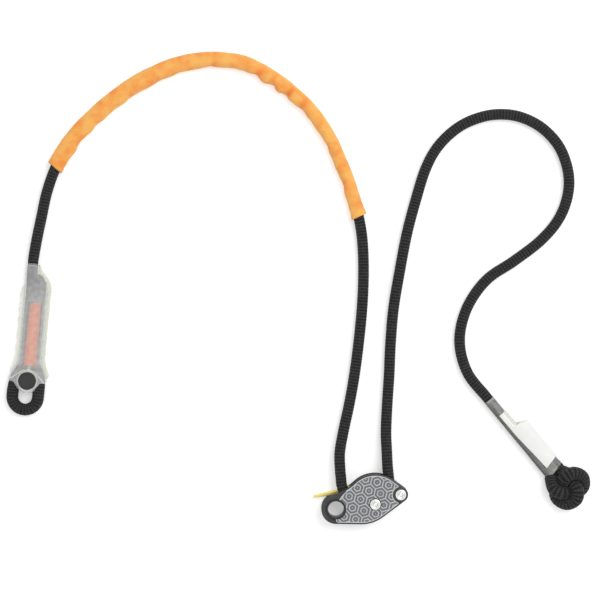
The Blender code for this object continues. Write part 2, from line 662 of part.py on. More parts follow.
def left_eye_points():
    """Down the main strand, round the eye and back up the tail, beside it."""
    height = LEFT_HALF_HEIGHT
    side, wide = STRAND_OFFSET, EYE_HALF_WIDTH
    swing = EYE_LENGTH - wide
    leg = [
        (side, CROTCH_LENGTH + 14 * MM, 0.0), (side, CROTCH_LENGTH + 4 * MM, 0.0),
        (side + 0.10 * (wide - side), 0.82 * CROTCH_LENGTH, 0.0),
        (side + 0.46 * (wide - side), 0.50 * CROTCH_LENGTH, 0.0),
        (side + 0.86 * (wide - side), 0.18 * CROTCH_LENGTH, 0.0),
        (wide, -0.20 * swing, 0.1), (wide, -0.62 * swing, 0.35),
    ]
    bend = []
    for i in range(13):
        angle = math.pi * i / 12
        bend.append((-wide * math.cos(angle), -swing - wide * math.sin(angle), 0.4 + 0.6 * math.sin(angle)))
    left = [(-x, y, droop) for x, y, droop in leg]
    outline = [(-side, LEFT_COVER_LENGTH, 0.0), *left, *bend, *reversed(leg), (side, LEFT_TAIL_LENGTH, 0.0)]
    route = [Vector((x, y, height - EYE_DROOP * droop)) for x, y, droop in outline]
    return thinned(smooth_points(route, TIGHT_STEP))


def make_left_end(looks):
    holder = empty("left end", LEFT_PLUG_CENTRE, LEFT_TILT)
    points = left_eye_points()
    rope_tube("left_eye_rope", points, ROPE_RADIUS, looks["rope"], holder)
    height = LEFT_HALF_HEIGHT
    single = ROPE_RADIUS + COVER_CLEARANCE + LEFT_COVER_WALL
    double = STRAND_OFFSET + single
    shoulder, tail = LEFT_TAIL_LENGTH + 11 * MM, LEFT_TAIL_LENGTH + TOUCH_GAP
    flare, nose = LEFT_FLARE_HALF_WIDTH, LEFT_NOSE
    stations = [
        (LEFT_COVER_LENGTH, -STRAND_OFFSET, single, single),
        (shoulder, -STRAND_OFFSET, single, single),
        (shoulder - 4 * MM, -0.75 * STRAND_OFFSET, single + 0.25 * (double - single), height),
        (tail + 3 * MM, -0.15 * STRAND_OFFSET, single + 0.85 * (double - single), height),
        (tail - 3 * MM, 0.0, double, height),
        (CROTCH_LENGTH + 6 * MM, 0.0, double, height),
        (0.78 * CROTCH_LENGTH, 0.0, double + 0.16 * (flare - double), height),
        (0.50 * CROTCH_LENGTH, 0.0, double + 0.52 * (flare - double), height),
        (0.22 * CROTCH_LENGTH, 0.0, double + 0.86 * (flare - double), height),
        (0.0, 0.0, flare, height),
        (-0.22 * nose, 0.0, 0.82 * flare, height),
        (-0.50 * nose, 0.0, 0.62 * flare, 0.96 * height),
        (-0.80 * nose, 0.0, 0.42 * flare, 0.88 * height),
        (-nose, 0.0, 0.20 * flare, 0.72 * height),
    ]
    cover = lofted_cover("left_cover", stations, looks["clear plastic"], holder, along_x=False)
    half, step = FLANGE_HALF_WIDTH, 6 * MM
    flange_outline = [
        Vector((-half, step)), Vector((-0.55 * half, 0.0)), Vector((0.55 * half, 0.0)), Vector((half, step)),
        Vector((half, FLANGE_TOP - step)), Vector((double, FLANGE_TOP)), Vector((-double, FLANGE_TOP)),
        Vector((-half, FLANGE_TOP - 3 * step)),
    ]
    flange = as_cutter(plate("cover flange", flange_outline, height - FLANGE_THICKNESS / 2,
                             height + FLANGE_THICKNESS / 2, FLANGE_THICKNESS / 4, None, holder))
    boolean(cover, flange, "UNION")
    middle = len(points) // 2
    cut_channels(cover, "left channel", [points[0] + Vector((0.0, 8 * MM, 0.0)), *points[:middle]],
                 points[middle:], holder)
    boolean(cover, seam_pocket("left seam pocket", LEFT_SEAM, height, holder, along_x=False))
    for side, name in ((1, "left_stitching_top"), (-1, "left_stitching_underside")):
        stitching(name, side, LEFT_SEAM, height, looks["orange thread"], holder, along_x=False)
    make_plug(cover, looks, holder)


def make_plug(cover, looks, holder):
    """Two halves of a snap plug through the crotch of the eye. The stem of one enters the other."""
    top, bottom = 2 * LEFT_HALF_HEIGHT, 0.0
    stem, flange = PLUG_STEM_RADIUS, PLUG_RADIUS
    seat_top, seat_bottom = top - PLUG_FLANGE + TOUCH_GAP, bottom + PLUG_FLANGE
    socket_in = stem + TOUCH_GAP
    socket_out = socket_in + PLUG_SOCKET_WALL
    rim, proud = TOUCH_GAP * 1.5, 0.5 * MM
    turned_solid("eye_plug_top", [
        (0.0, seat_bottom + TOUCH_GAP + 1 * MM), (stem, seat_bottom + TOUCH_GAP + 1 * MM), (stem, seat_top),
        (flange, seat_top), (flange, top + proud - rim), (flange - rim, top + proud),
        (PLUG_DISH_RADIUS + rim, top + proud), (PLUG_DISH_RADIUS, top + proud - PLUG_DISH_DEPTH),
        (0.0, top + proud - PLUG_DISH_DEPTH)], looks["black rubber"], holder)
    turned_solid("eye_plug_underside", [
        (0.0, FOOT_RECESS), (flange, FOOT_RECESS), (flange, seat_bottom), (socket_out, seat_bottom),
        (socket_out, seat_top - TOUCH_GAP), (socket_in, seat_top - TOUCH_GAP), (socket_in, seat_bottom),
        (0.0, seat_bottom)], looks["black rubber"], holder)
    wide, narrow = flange + TOUCH_GAP, socket_out + TOUCH_GAP
    bore = as_cutter(turned_solid("plug bore", [
        (0.0, bottom - top), (wide, bottom - top), (wide, seat_bottom + TOUCH_GAP),
        (narrow, seat_bottom + TOUCH_GAP), (narrow, seat_top - TOUCH_GAP), (wide, seat_top - TOUCH_GAP),
        (wide, 2 * top), (0.0, 2 * top)], None, holder))
    boolean(cover, bore)


def knot_points():
    """The main strand enters low, makes an overhand knot on a torus path, and ends as the tail."""
    height = RIGHT_HALF_HEIGHT
    middle = Vector((KNOT_CENTRE_FROM_SLEEVE, 0.0, LYING_HEIGHT + KNOT_LIFT))
    side = STRAND_OFFSET
    first, last = math.pi + KNOT_OPENING, 5 * math.pi - KNOT_OPENING
    turns = 20
    knot = []
    for i in range(turns + 1):
        angle = first + (last - first) * i / turns
        phase = 1.5 * (angle - math.pi)
        reach = KNOT_RING_RADIUS + KNOT_SWAY * math.cos(phase)
        turned = angle + KNOT_TURN
        knot.append(middle + Vector((reach * math.cos(turned), reach * math.sin(turned),
                                     KNOT_LIFT * math.sin(phase))))
    into = [Vector((-x * MM, -side, height)) for x in (12, 0)]
    out = [Vector((-x * MM, side, height)) for x in (0, 12)]
    route = [Vector((-RIGHT_COVER_LENGTH, -side, height)), *into, *knot, *out,
             Vector((-RIGHT_TAIL_LENGTH, side, height))]
    return thinned(smooth_points(route, KNOT_STEP))


def make_right_end(looks):
    holder = empty("right end", RIGHT_SLEEVE_END, RIGHT_TILT)
    points = knot_points()
    print("knot: least gap to itself", round(least_gap_to_itself(points, ROPE_DIAMETER) / MM, 2), "mm")
    rope_tube("stopper_knot_rope", points, ROPE_RADIUS, looks["rope"], holder)
    height = RIGHT_HALF_HEIGHT
    single = ROPE_RADIUS + COVER_CLEARANCE + RIGHT_COVER_WALL
    double = STRAND_OFFSET + single
    tail = -RIGHT_TAIL_LENGTH
    stations = [
        (-RIGHT_COVER_LENGTH, -STRAND_OFFSET, single, single),
        (tail - 9 * MM, -STRAND_OFFSET, single, single),
        (tail - 5 * MM, -0.75 * STRAND_OFFSET, single + 0.25 * (double - single), height),
        (tail - 1 * MM, -0.1 * STRAND_OFFSET, single + 0.9 * (double - single), height),
        (tail + 3 * MM, 0.0, double, height),
        (0.0, 0.0, double, height),
    ]
    cover = lofted_cover("right_cover", stations, looks["clear plastic"], holder, along_x=True)
    reach = 8 * MM
    into = next(i for i, point in enumerate(points) if point.x > reach)
    out = len(points) - next(i for i, point in enumerate(reversed(points)) if point.x > reach)
    cut_channels(cover, "right channel", [points[0] - Vector((reach, 0.0, 0.0)), *points[:into + 1]],
                 points[out - 1:], holder)
    boolean(cover, seam_pocket("right seam pocket", RIGHT_SEAM, height, holder, along_x=True))
    for side, name in ((1, "right_stitching_top"), (-1, "right_stitching_underside")):
        stitching(name, side, RIGHT_SEAM, height, looks["black thread"], holder, along_x=True)
    make_label(single, double, looks, holder)


def make_label(single, double, looks, holder):
    """A printed label wrapped over the sleeve: narrow on the single strand, wide on the doubled part."""
    end = -LABEL_FROM_END
    start = end - LABEL_LENGTH
    step = -RIGHT_TAIL_LENGTH
    height = RIGHT_HALF_HEIGHT
    # Each station is (place along, centre across, half width, first angle, last angle), in degrees.
    stations = [
        (start, -STRAND_OFFSET, single, 20, 150),
        (step - 9 * MM, -STRAND_OFFSET, single, 20, 150),
        (step - 5 * MM, -0.75 * STRAND_OFFSET, single + 0.25 * (double - single), 14, 148),
        (step - 1 * MM, -0.1 * STRAND_OFFSET, single + 0.9 * (double - single), 0, 143),
        (step + 3 * MM, 0.0, double, -8, 140),
        (end, 0.0, double, -8, 116),
    ]
    roundness, samples = 2.5, 12
    rings = []
    for place, across, half_width, first, last in stations:
        upper, lower = [], []
        for i in range(samples + 1):
            angle = math.radians(first + (last - first) * i / samples)
            c, s = math.cos(angle), math.sin(angle)
            for out, skin in ((upper, TOUCH_GAP + LABEL_THICKNESS), (lower, TOUCH_GAP)):
                x = across + (half_width + skin) * math.copysign(abs(c) ** (2 / roundness), c)
                z = height + (height + skin) * math.copysign(abs(s) ** (2 / roundness), s)
                out.append((place, x, z))
        rings.append(upper + list(reversed(lower)))
    object_from_rings("label", rings, looks["white film"], holder)


def protector_sections(line):
    """For each point of a line: the point, the level direction across it, and how far along it is."""
    walked, sections = 0.0, []
    for i, point in enumerate(line):
        if i:
            walked += (point - line[i - 1]).length
        ahead = line[min(i + 1, len(line) - 1)] - line[max(i - 1, 0)]
        sections.append((point, Vector((-ahead.y, ahead.x, 0.0)).normalized(), walked))
    return sections


def width_at(share):
    """The protector's half width at a share of its length, straight between the given places."""
    for (before, first), (after, second) in zip(PROTECTOR_HALF_WIDTHS, PROTECTOR_HALF_WIDTHS[1:]):
        if share <= after:
            return first + (second - first) * (share - before) / (after - before)
    return PROTECTOR_HALF_WIDTHS[-1][1]


def make_protector(rope_line, looks):
    """A fabric tube that the rope runs through, wider than the rope and gently puckered."""
    dense = respaced(rope_line, 1.0 * MM)
    first = round(PROTECTOR_START / length_of(dense) * (len(dense) - 1))
    last = round((PROTECTOR_START + PROTECTOR_LENGTH) / length_of(dense) * (len(dense) - 1))
    line = respaced(dense[first:last + 1], PROTECTOR_STEP)
    inner_height = ROPE_RADIUS + COVER_CLEARANCE
    outer, inner = [], []
    for point, across, walked in protector_sections(line):
        pucker = PROTECTOR_WAVE * math.sin(walked / (15 * MM))
        half = width_at(walked / PROTECTOR_LENGTH) + pucker
        for ring, skin in ((outer, PROTECTOR_WALL), (inner, 0.0)):
            sides = []
            for i in range(PROTECTOR_SIDES):
                angle = 2 * math.pi * i / PROTECTOR_SIDES
                sides.append(
                    point + across * math.cos(angle) * (half - PROTECTOR_WALL + skin)
                    + Vector((0.0, 0.0, math.sin(angle) * (inner_height + skin)))
                )
            ring.append(sides)
    rings = outer + list(reversed(inner))
    object_from_rings("protector_sleeve", rings, looks["orange fabric"], None, closed_rings=True)


def placed(holder_place, turn, point):
    """A point of a tilted end in the row frame."""
    moved = Matrix.Rotation(turn, 3, "Z") @ Vector(point)
    return moved + Vector((holder_place[0], holder_place[1], 0.0))


def lay(route):
    return [Vector((x * MM, y * MM, LYING_HEIGHT + lift * MM)) for x, y, lift in route]


def run_points(route):
    """Points along a free run, close together at its ends so that they meet their neighbours squarely."""
    fine = smooth_points(route, 1.0 * MM)
    ends = (0, 5, 13)
    middle = respaced(fine[ends[-1]:-ends[-1] - 1], RUN_STEP)
    return [fine[i] for i in ends[:-1]] + middle + [fine[-1 - i] for i in reversed(ends[:-1])]


def make_runs(looks):
    """The two free stretches of rope, each cut square where it meets its neighbours."""
    eye = Vector((EYE_CENTRE.x, EYE_CENTRE.y, 0.0))
    inside = adjuster_rope_points()
    into, out = (inside[0] - inside[1]).normalized(), (inside[-1] - inside[-2]).normalized()
    left_mouth = [
        placed(LEFT_PLUG_CENTRE, LEFT_TILT, (-STRAND_OFFSET, LEFT_COVER_LENGTH + reach, LEFT_HALF_HEIGHT))
        for reach in (TOUCH_GAP, 6 * MM)
    ]
    left_end = [eye + inside[0] + into * reach for reach in (7 * MM, TOUCH_GAP)]
    left_line = run_points([*left_mouth, *lay(LEFT_ROUTE), *left_end])
    rope_tube("rope_long_run", left_line, ROPE_RADIUS, looks["rope"], None)
    make_protector(left_line, looks)
    right_mouth = [
        placed(RIGHT_SLEEVE_END, RIGHT_TILT, (-RIGHT_COVER_LENGTH - reach, -STRAND_OFFSET, RIGHT_HALF_HEIGHT))
        for reach in (6 * MM, TOUCH_GAP)
    ]
    right_start = [eye + inside[-1] + out * reach for reach in (TOUCH_GAP, 7 * MM)]
    right_line = run_points([*right_start, *lay(RIGHT_ROUTE), *right_mouth])
    rope_tube("rope_short_run", right_line, ROPE_RADIUS, looks["rope"], None)
    print("rope lengths in mm: long run", round(length_of(left_line) / MM),
          "short run", round(length_of(right_line) / MM), "in the adjuster", round(length_of(inside) / MM))


def make_looks():
    return {
        "rope": material("black rope sheath", (0.012, 0.012, 0.013), 0.85),
        "orange fabric": material("orange nylon fabric", (0.94, 0.36, 0.06), 0.75),
        "black alloy": material("black anodised alloy", (0.02, 0.02, 0.022), 0.42, 0.6),
        "grey alloy": material("grey anodised alloy", (0.14, 0.14, 0.15), 0.45, 0.6),
        "yellow alloy": material("yellow anodised alloy", (0.85, 0.52, 0.07), 0.35, 0.7),
        "steel": material("polished steel", (0.75, 0.75, 0.74), 0.25, 1.0),
        "black steel": material("blackened steel", (0.03, 0.03, 0.03), 0.4, 0.8),
        "spring steel": material("spring steel", (0.4, 0.4, 0.42), 0.3, 1.0),
        "bronze": material("bearing bronze", (0.55, 0.33, 0.12), 0.4, 1.0),
        "clear plastic": material("frosted clear plastic", (0.5, 0.5, 0.52), 0.3, 0.0, 0.55),
        "orange thread": material("orange bonded thread", (0.85, 0.22, 0.07), 0.6),
        "black thread": material("black bonded thread", (0.02, 0.02, 0.02), 0.6),
        "black rubber": material("black rubber", (0.02, 0.02, 0.022), 0.55),
        "white film": material("white printed film", (0.9, 0.9, 0.89), 0.4),
    }


def main():
    clear_scene()
    looks = make_looks()
    make_adjuster(looks)
    make_left_end(looks)
    make_right_end(looks)
    make_runs(looks)


main()
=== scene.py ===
# Adjustable climbing lanyard laid out on a white table, seen from straight above.
# Metres, +Z up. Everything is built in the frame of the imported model.
import math

import bpy
import numpy as np
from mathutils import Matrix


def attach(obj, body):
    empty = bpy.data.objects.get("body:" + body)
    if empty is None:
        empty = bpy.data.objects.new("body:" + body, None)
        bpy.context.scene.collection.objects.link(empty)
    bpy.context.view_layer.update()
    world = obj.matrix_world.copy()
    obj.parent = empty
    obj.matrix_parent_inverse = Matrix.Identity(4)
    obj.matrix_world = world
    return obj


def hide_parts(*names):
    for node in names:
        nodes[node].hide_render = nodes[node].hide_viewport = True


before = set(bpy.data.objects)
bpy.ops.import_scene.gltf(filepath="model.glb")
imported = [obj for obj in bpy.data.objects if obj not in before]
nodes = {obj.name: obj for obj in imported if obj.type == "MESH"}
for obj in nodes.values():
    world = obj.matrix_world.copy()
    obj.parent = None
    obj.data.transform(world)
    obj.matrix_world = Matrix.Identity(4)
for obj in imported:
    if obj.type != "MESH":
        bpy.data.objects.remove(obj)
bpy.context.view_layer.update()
scene = bpy.context.scene
mm = 0.001
print("frame loaded with", len(nodes), "nodes")


def toLinear(code):
    # sRGB hex to linear: c / 12.92 below 0.04045, else ((c + 0.055) / 1.055) ^ 2.4
    c = np.array([int(code[i:i + 2], 16) / 255 for i in (1, 3, 5)])
    return (*np.where(c <= 0.04045, c / 12.92, ((c + 0.055) / 1.055) ** 2.4).tolist(), 1.0)


def addNode(tree, kind, *values, sockets=None, out=0, into=None, **settings):
    # values fill the sockets in order, sockets fills them by name or number, and one output comes back,
    # linked to the socket into
    node = tree.nodes.new("ShaderNode" + kind)
    for key, value in settings.items():
        setattr(node, key, value)
    for key, value in [*enumerate(values), *(sockets or {}).items()]:
        if isinstance(value, bpy.types.NodeSocket):
            tree.links.new(value, node.inputs[key])
        elif value is not None:
            node.inputs[key].default_value = value
    if into is not None:
        tree.links.new(node.outputs[out], into)
    return node.outputs[out]


def newLook(name, colour, roughness, metallic=0.0, ior=1.5, alpha=1.0):
    look = bpy.data.materials.new(name)
    look.use_nodes = True
    tree = look.node_tree
    shader = tree.nodes["Principled BSDF"]
    shader.inputs["Base Color"].default_value = toLinear(colour)
    shader.inputs["Roughness"].default_value = roughness
    shader.inputs["Metallic"].default_value = metallic
    shader.inputs["Alpha"].default_value = alpha
    if not metallic:
        shader.inputs["IOR"].default_value = ior
    return look, tree, shader.inputs


def seenDirectly(tree):
    # 1 for what the camera, a mirror or clear film sees, 0 for light that only spreads
    path = addNode(tree, "LightPath").node.outputs
    seen = addNode(tree, "Math", path["Is Camera Ray"], path["Is Glossy Ray"], operation="MAXIMUM")
    return addNode(tree, "Math", seen, path["Is Transmission Ray"], operation="MAXIMUM")


def overUnder(tree, a, b):
    # the rule of a weave: 1 where floor(a) + floor(b) is odd, so that the second thread lies on top
    floors = [addNode(tree, "Math", x, operation="FLOOR") for x in (a, b)]
    both = addNode(tree, "Math", *floors, operation="ADD")
    odd = addNode(tree, "Math", both, 2.0, operation="FLOORED_MODULO")
    return floors, addNode(tree, "Math", odd, 0.5, operation="GREATER_THAN")


def ridge(tree, x):
    # |sin(pi x)|, one rounded thread for each whole number
    turned = addNode(tree, "Math", x, math.pi, operation="MULTIPLY")
    return addNode(tree, "Math", addNode(tree, "Math", turned, operation="SINE"), operation="ABSOLUTE")


def lengthsAlong(line):
    # how far along the line each of its points is
    return np.concatenate([[0.0], np.cumsum(np.linalg.norm(np.diff(line, axis=0), axis=1))])


def readOff(at, walked, line):
    # the line's points at these lengths, each on the straight between its neighbours
    return np.stack([np.interp(at, walked, line[:, k]) for k in range(line.shape[1])], 1)


def spacedBy(line, step):
    # even steps along a line, as near to step as whole steps allow
    walked = lengthsAlong(line)
    return readOff(np.linspace(0, walked[-1], max(2, round(walked[-1] / step)) + 1), walked, line)


def throughPoints(points, samples=64):
    # Catmull-Rom: half of (2b + (c-a)t + (2a-5b+4c-d)t^2 + (3b-a-3c+d)t^3) over each four neighbours
    points = np.asarray(points, float)
    knots = np.vstack([2 * points[0] - points[1], points, 2 * points[-1] - points[-2]])
    a, b, c, d = (knots[i:len(knots) - 3 + i, None, :] for i in range(4))
    t = (np.arange(samples) / samples)[None, :, None]
    square, cube = 2 * a - 5 * b + 4 * c - d, 3 * b - a - 3 * c + d
    curve = 0.5 * (2 * b + (c - a) * t + square * t**2 + cube * t**3)
    return np.vstack([curve.reshape(-1, points.shape[1]), points[-1:]])


def unit(vectors):
    # each vector at length 1
    return vectors / np.maximum(np.linalg.norm(vectors, axis=-1, keepdims=True), 1e-12)


def ramp(distance, over, low=0.0):
    # rises from low to 1 while the distance grows from 0 to over
    return np.clip(distance / over, low, 1)


def bell(distance, width):
    # exp(-(distance / width)^2)
    return np.exp(-(distance / width) ** 2)


def roundTurn(count):
    # even angles round a full turn
    return np.arange(count) * 2 * np.pi / count


def roundedBox(angle, n):
    # a circle at n = 2 and nearer to a square above it: sign |cos|^(2/n) across and sign |sin|^(2/n) up
    return [np.sign(f) * np.abs(f) ** (2 / n) for f in (np.cos(angle), np.sin(angle))]


def levelFrames(line):
    # ahead is the line's direction, across is level and to its left, over is square to both
    ahead = unit(np.gradient(line, axis=0))
    across = unit(np.cross([0.0, 0.0, 1.0], ahead))
    return ahead, across, np.cross(ahead, across)


def softCorners(profile, radius, steps=5, closed=False):
    # each corner p between a and b becomes (1-t)^2 s + 2t(1-t) p + t^2 e, s and e a radius away from it
    p = np.asarray(profile, float)
    a, b = np.roll(p, 1, 0), np.roll(p, -1, 0)
    reach = [np.minimum(radius, 0.45 * np.linalg.norm(q - p, axis=1))[:, None] for q in (a, b)]
    s, e = p + unit(a - p) * reach[0], p + unit(b - p) * reach[1]
    t = np.linspace(0, 1, steps)[None, :, None]
    bent = (1 - t) ** 2 * s[:, None] + 2 * t * (1 - t) * p[:, None] + t**2 * e[:, None]
    if closed:
        return bent.reshape(-1, 2)
    return np.vstack([p[:1], bent[1:-1].reshape(-1, 2), p[-1:]])


def buildMesh(name, verts, faces, look, uv=None, sharpOver=None):
    mesh = bpy.data.meshes.new(name)
    mesh.from_pydata(np.asarray(verts).reshape(-1, 3).tolist(), [], faces)
    if uv is not None:
        mesh.uv_layers.new(name="surface").data.foreach_set("uv", np.asarray(uv, np.float32).ravel())
    mesh.shade_smooth()
    if sharpOver:
        mesh.set_sharp_from_angle(angle=math.radians(sharpOver))
    mesh.materials.append(look)
    piece = bpy.data.objects.new(name, mesh)
    scene.collection.objects.link(piece)
    return piece


def ringQuads(rows, cols, wrapRows=False):
    # each point of a ring with its neighbours in the ring and in the next one, and the quads that join them
    r, c = np.meshgrid(np.arange(rows if wrapRows else rows - 1), np.arange(cols), indexing="ij")
    r, c = r.ravel(), c.ravel()
    r2, c2 = (r + 1) % rows, (c + 1) % cols
    quads = np.stack([r * cols + c, r * cols + c2, r2 * cols + c2, r2 * cols + c], 1)
    return r, c, r2, quads.tolist()


def gridPiece(name, grid, look, rowUv=None, turnUv=1.0, wrapRows=False, sharpOver=None):
    # rows of points, each row a closed ring; quads join neighbours, a fan to a middle point shuts each end
    rows, cols = grid.shape[:2]
    r, c, r2, faces = ringQuads(rows, cols, wrapRows)
    verts = grid.reshape(-1, 3)
    v = np.linspace(0, 1, rows) if rowUv is None else np.asarray(rowUv, float)
    u1, u2 = c / cols * turnUv, (c + 1) / cols * turnUv
    uv = np.stack([u1, v[r], u2, v[r], u2, v[r2], u1, v[r2]], 1).ravel()
    if not wrapRows:
        verts = np.vstack([verts, grid[0].mean(0), grid[-1].mean(0)])
        here, after = np.arange(cols), (np.arange(cols) + 1) % cols
        below = (rows - 1) * cols
        first = np.stack([np.full(cols, rows * cols), after, here], 1)
        last = np.stack([np.full(cols, rows * cols + 1), below + here, below + after], 1)
        faces += first.tolist() + last.tolist()
        u1, u2 = here / cols * turnUv, (here + 1) / cols * turnUv
        start, end = np.full(cols, v[0]), np.full(cols, v[-1])
        uv = np.concatenate([uv, np.stack([u1, start, u2, start, u1, start], 1).ravel(),
                             np.stack([u1, end, u1, end, u2, end], 1).ravel()])
    return buildMesh(name, verts, faces, look, uv, sharpOver)


def turnedPiece(name, profile, centre, look, steps=96, closed=False, sharpOver=40):
    # a profile of (radius, height) turned about an upright line: x = cx + r cos(a), y = cy + r sin(a)
    radius, height = np.maximum(np.asarray(profile)[:, 0], 2e-6), np.asarray(profile)[:, 1]
    a = roundTurn(steps)
    x, y = centre[0] + radius[:, None] * np.cos(a), centre[1] + radius[:, None] * np.sin(a)
    grid = np.stack([x, y, height[:, None] + 0 * a], -1)
    return gridPiece(name, grid, look, rowUv=radius, wrapRows=closed, sharpOver=sharpOver)


def tubeGrid(line, radius, sides, relief=0.0):
    # centre + across * r cos(a) + over * r sin(a), with the relief added to r
    _, across, over = levelFrames(line)
    a = roundTurn(sides)[:, None]
    r = (np.broadcast_to(radius, len(line))[:, None] + relief)[..., None]
    return line[:, None] + r * (across[:, None] * np.cos(a) + over[:, None] * np.sin(a))


def pointValues(piece, name, values):
    # one number for each point of the grid, and 0 for the points that shut its ends
    whole = np.zeros(len(piece.data.vertices), np.float32)
    whole[:values.size] = values.ravel()
    piece.data.attributes.new(name, "FLOAT", "POINT").data.foreach_set("value", whole)


def cutOut(piece, tools, operation="DIFFERENCE"):
    # takes the tools out of the piece, or keeps what is in them, and keeps the finished mesh
    for tool in tools:
        step = piece.modifiers.new("cut", "BOOLEAN")
        step.operation, step.object, step.solver = operation, tool, "EXACT"
    finished = bpy.data.meshes.new_from_object(piece.evaluated_get(bpy.context.evaluated_depsgraph_get()))
    piece.modifiers.clear()
    piece.data = finished
    finished.set_sharp_from_angle(angle=math.radians(32))
    for tool in tools:
        bpy.data.objects.remove(tool)
    return piece


def keep(piece, replaced=(), body="lanyard"):
    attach(piece, body)
    if replaced:
        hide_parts(*replaced)
    return piece


view = {"widthSeen": 634.8 * mm, "distance": 2.0, "over": (-63.8 * mm, 209.6 * mm), "height": 8 * mm}
camera = bpy.data.objects.new("camera", bpy.data.cameras.new("camera"))
scene.collection.objects.link(camera)
scene.camera = camera
camera.data.sensor_width = 36
camera.data.lens = camera.data.sensor_width * view["distance"] / view["widthSeen"]
camera.location = (*view["over"], view["height"] + view["distance"])
scene.view_settings.view_transform = "Standard"

light = {"sky": 0.7, "key": 17.0, "keySize": 1.4, "keyPlace": (0.85, 0.95, 1.75), "tableLift": 0.36}
world = bpy.data.worlds.new("studio")
scene.world = world
world.use_nodes = True
sky = world.node_tree.nodes["Background"].inputs
sky["Color"].default_value = (1, 1, 1, 1)
addNode(world.node_tree, "MapRange", seenDirectly(world.node_tree), 0.0, 1.0, light["sky"], 1.0,
        into=sky["Strength"])

lamp = bpy.data.objects.new("key", bpy.data.lights.new("key", "AREA"))
scene.collection.objects.link(lamp)
lamp.data.shape, lamp.data.size, lamp.data.energy = "DISK", light["keySize"], light["key"]
lamp.location = light["keyPlace"]
aim = np.array(light["keyPlace"]) - np.array([*view["over"], 0])
lamp.rotation_euler = (math.atan2(math.hypot(aim[0], aim[1]), aim[2]), 0, math.atan2(aim[0], -aim[1]))

# white laminate table: matt, it shows as paper white to the camera and still takes the shadows
table = {"half": 6.0, "top": -0.05 * mm}
tableLook, tree, surface = newLook("white laminate", "#F7F7F7", 0.9)
addNode(tree, "Math", seenDirectly(tree), light["tableLift"], operation="MULTIPLY",
        into=surface["Emission Strength"])
surface["Emission Color"].default_value = (1, 1, 1, 1)
surface["Specular IOR Level"].default_value = 0.0
corners = np.array([(-1, -1), (1, -1), (1, 1), (-1, 1)]) * table["half"]
floor = buildMesh("floor", np.column_stack([corners, np.full(4, table["top"])]), [(0, 1, 2, 3)], tableLook)
print("camera, lamp and table placed")


rope = {"radius": 5.5 * mm, "restGap": 0.1 * mm, "yarnsEachWay": 14, "lay": 45 * mm, "relief": 0.42 * mm,
        "sides": 56, "step": 0.7 * mm, "hiddenStep": 6 * mm, "strandGap": 0.7 * mm, "yarnHeight": 0.72,
        "crestPower": 0.8, "crossPower": 0.35, "lineStep": 0.35 * mm, "cutGap": 0.3}
lying = rope["radius"] + rope["restGap"]
strandSide = rope["radius"] + rope["strandGap"] / 2
leftEnd = {"place": (-351.7 * mm, 124.2 * mm), "tilt": math.radians(-5.2), "length": 124 * mm,
           "tail": 113 * mm, "height": 7.4 * mm, "eyeHalf": 13.6 * mm, "eyeLength": 30.8 * mm,
           "crotch": 22 * mm, "droop": 1.4 * mm, "sway": 1.5 * mm, "pressedSide": 5.0 * mm,
           "pressedTo": 92 * mm, "bevel": 13 * mm}
rightEnd = {"place": (204.2 * mm, 30.5 * mm), "tilt": math.radians(-50.5), "length": 100 * mm,
            "tail": 57 * mm, "height": 6.6 * mm, "knotPlace": 22.5 * mm, "ring": 12.7 * mm,
            "sway": 5.7 * mm, "lift": 6.0 * mm, "turn": math.radians(14), "entry": math.radians(12),
            "exit": math.radians(34), "pressedSide": 4.8 * mm, "bevel": 2.4 * mm}
eyeCentre = np.array([-25.9, -10.65, 0]) * mm
eyePlace = eyeCentre[:2]
axle, bollard, belly = (eyePlace + np.array(p) * mm for p in ((41.3, 5.3), (68.1, 15.4), (26.7, 22.3)))

longRoute = [  # across, along, lift, in millimetres
    (-342.6, 273, 0.6), (-337.5, 298, 0), (-331.5, 325, 0), (-321, 353, 0.8), (-304, 380, 1.4),
    (-281, 404.5, 1.4), (-249, 430.5, 1.4), (-217, 449, 1.4), (-186, 460.5, 1.4), (-154, 464.3, 1.4),
    (-122, 460, 1.4), (-90, 443, 1.4), (-58.5, 417, 1.4), (-35, 386, 1.4), (-16, 344, 1.4),
    (-4.5, 308, 1.2), (1, 283, 0.4), (3.2, 257, 0), (3.3, 228, 0), (1.5, 196, 0), (-2.2, 160, 0),
    (-6.5, 128, 0), (-11.5, 100, 0.2), (-18, 70, 2.2), (-21.8, 48, 4.6)]
shortRoute = [
    (27.9, 50, 4.6), (27.2, 70, 2.2), (28.6, 100, 0.2), (30.6, 130, 0), (32.0, 162, 0), (35.2, 200, 0),
    (42, 241, 0), (49.5, 280, 0), (59, 316, 0), (69.5, 349, 0), (83, 373, 0), (104, 392.5, 0),
    (127, 403, 0), (149, 406.3, 0), (171, 403, 0), (193, 391.5, 0), (211, 371.5, 0), (220.3, 345, 0),
    (219.7, 320, 0), (210, 295, 0), (191, 272.5, 0), (163, 251, 0), (135, 232, 0), (116, 207, 0),
    (106.5, 180, 0), (106.3, 155, 0), (115, 130, 0.4)]
insideRoute = [  # from the connector eye's middle
    (5.2, 33.5), (6.1, 25), (9.1, 17.4), (14.2, 10.9), (20.6, 4.2), (27.6, -1.8), (34.8, -5.1),
    (41.3, -5.5), (47.6, -3.4), (52.2, 0.6), (55.2, 5.8), (56.7, 12), (56.9, 20), (56.1, 29), (55.2, 38)]
insideHeight = 11.6


def placed(end, points):
    # turned by the end's tilt, then moved to its place
    p, c, s = np.asarray(points, float), math.cos(end["tilt"]), math.sin(end["tilt"])
    x, y = c * p[..., 0] - s * p[..., 1], s * p[..., 0] + c * p[..., 1]
    return np.stack([x + end["place"][0], y + end["place"][1], p[..., 2]], -1)


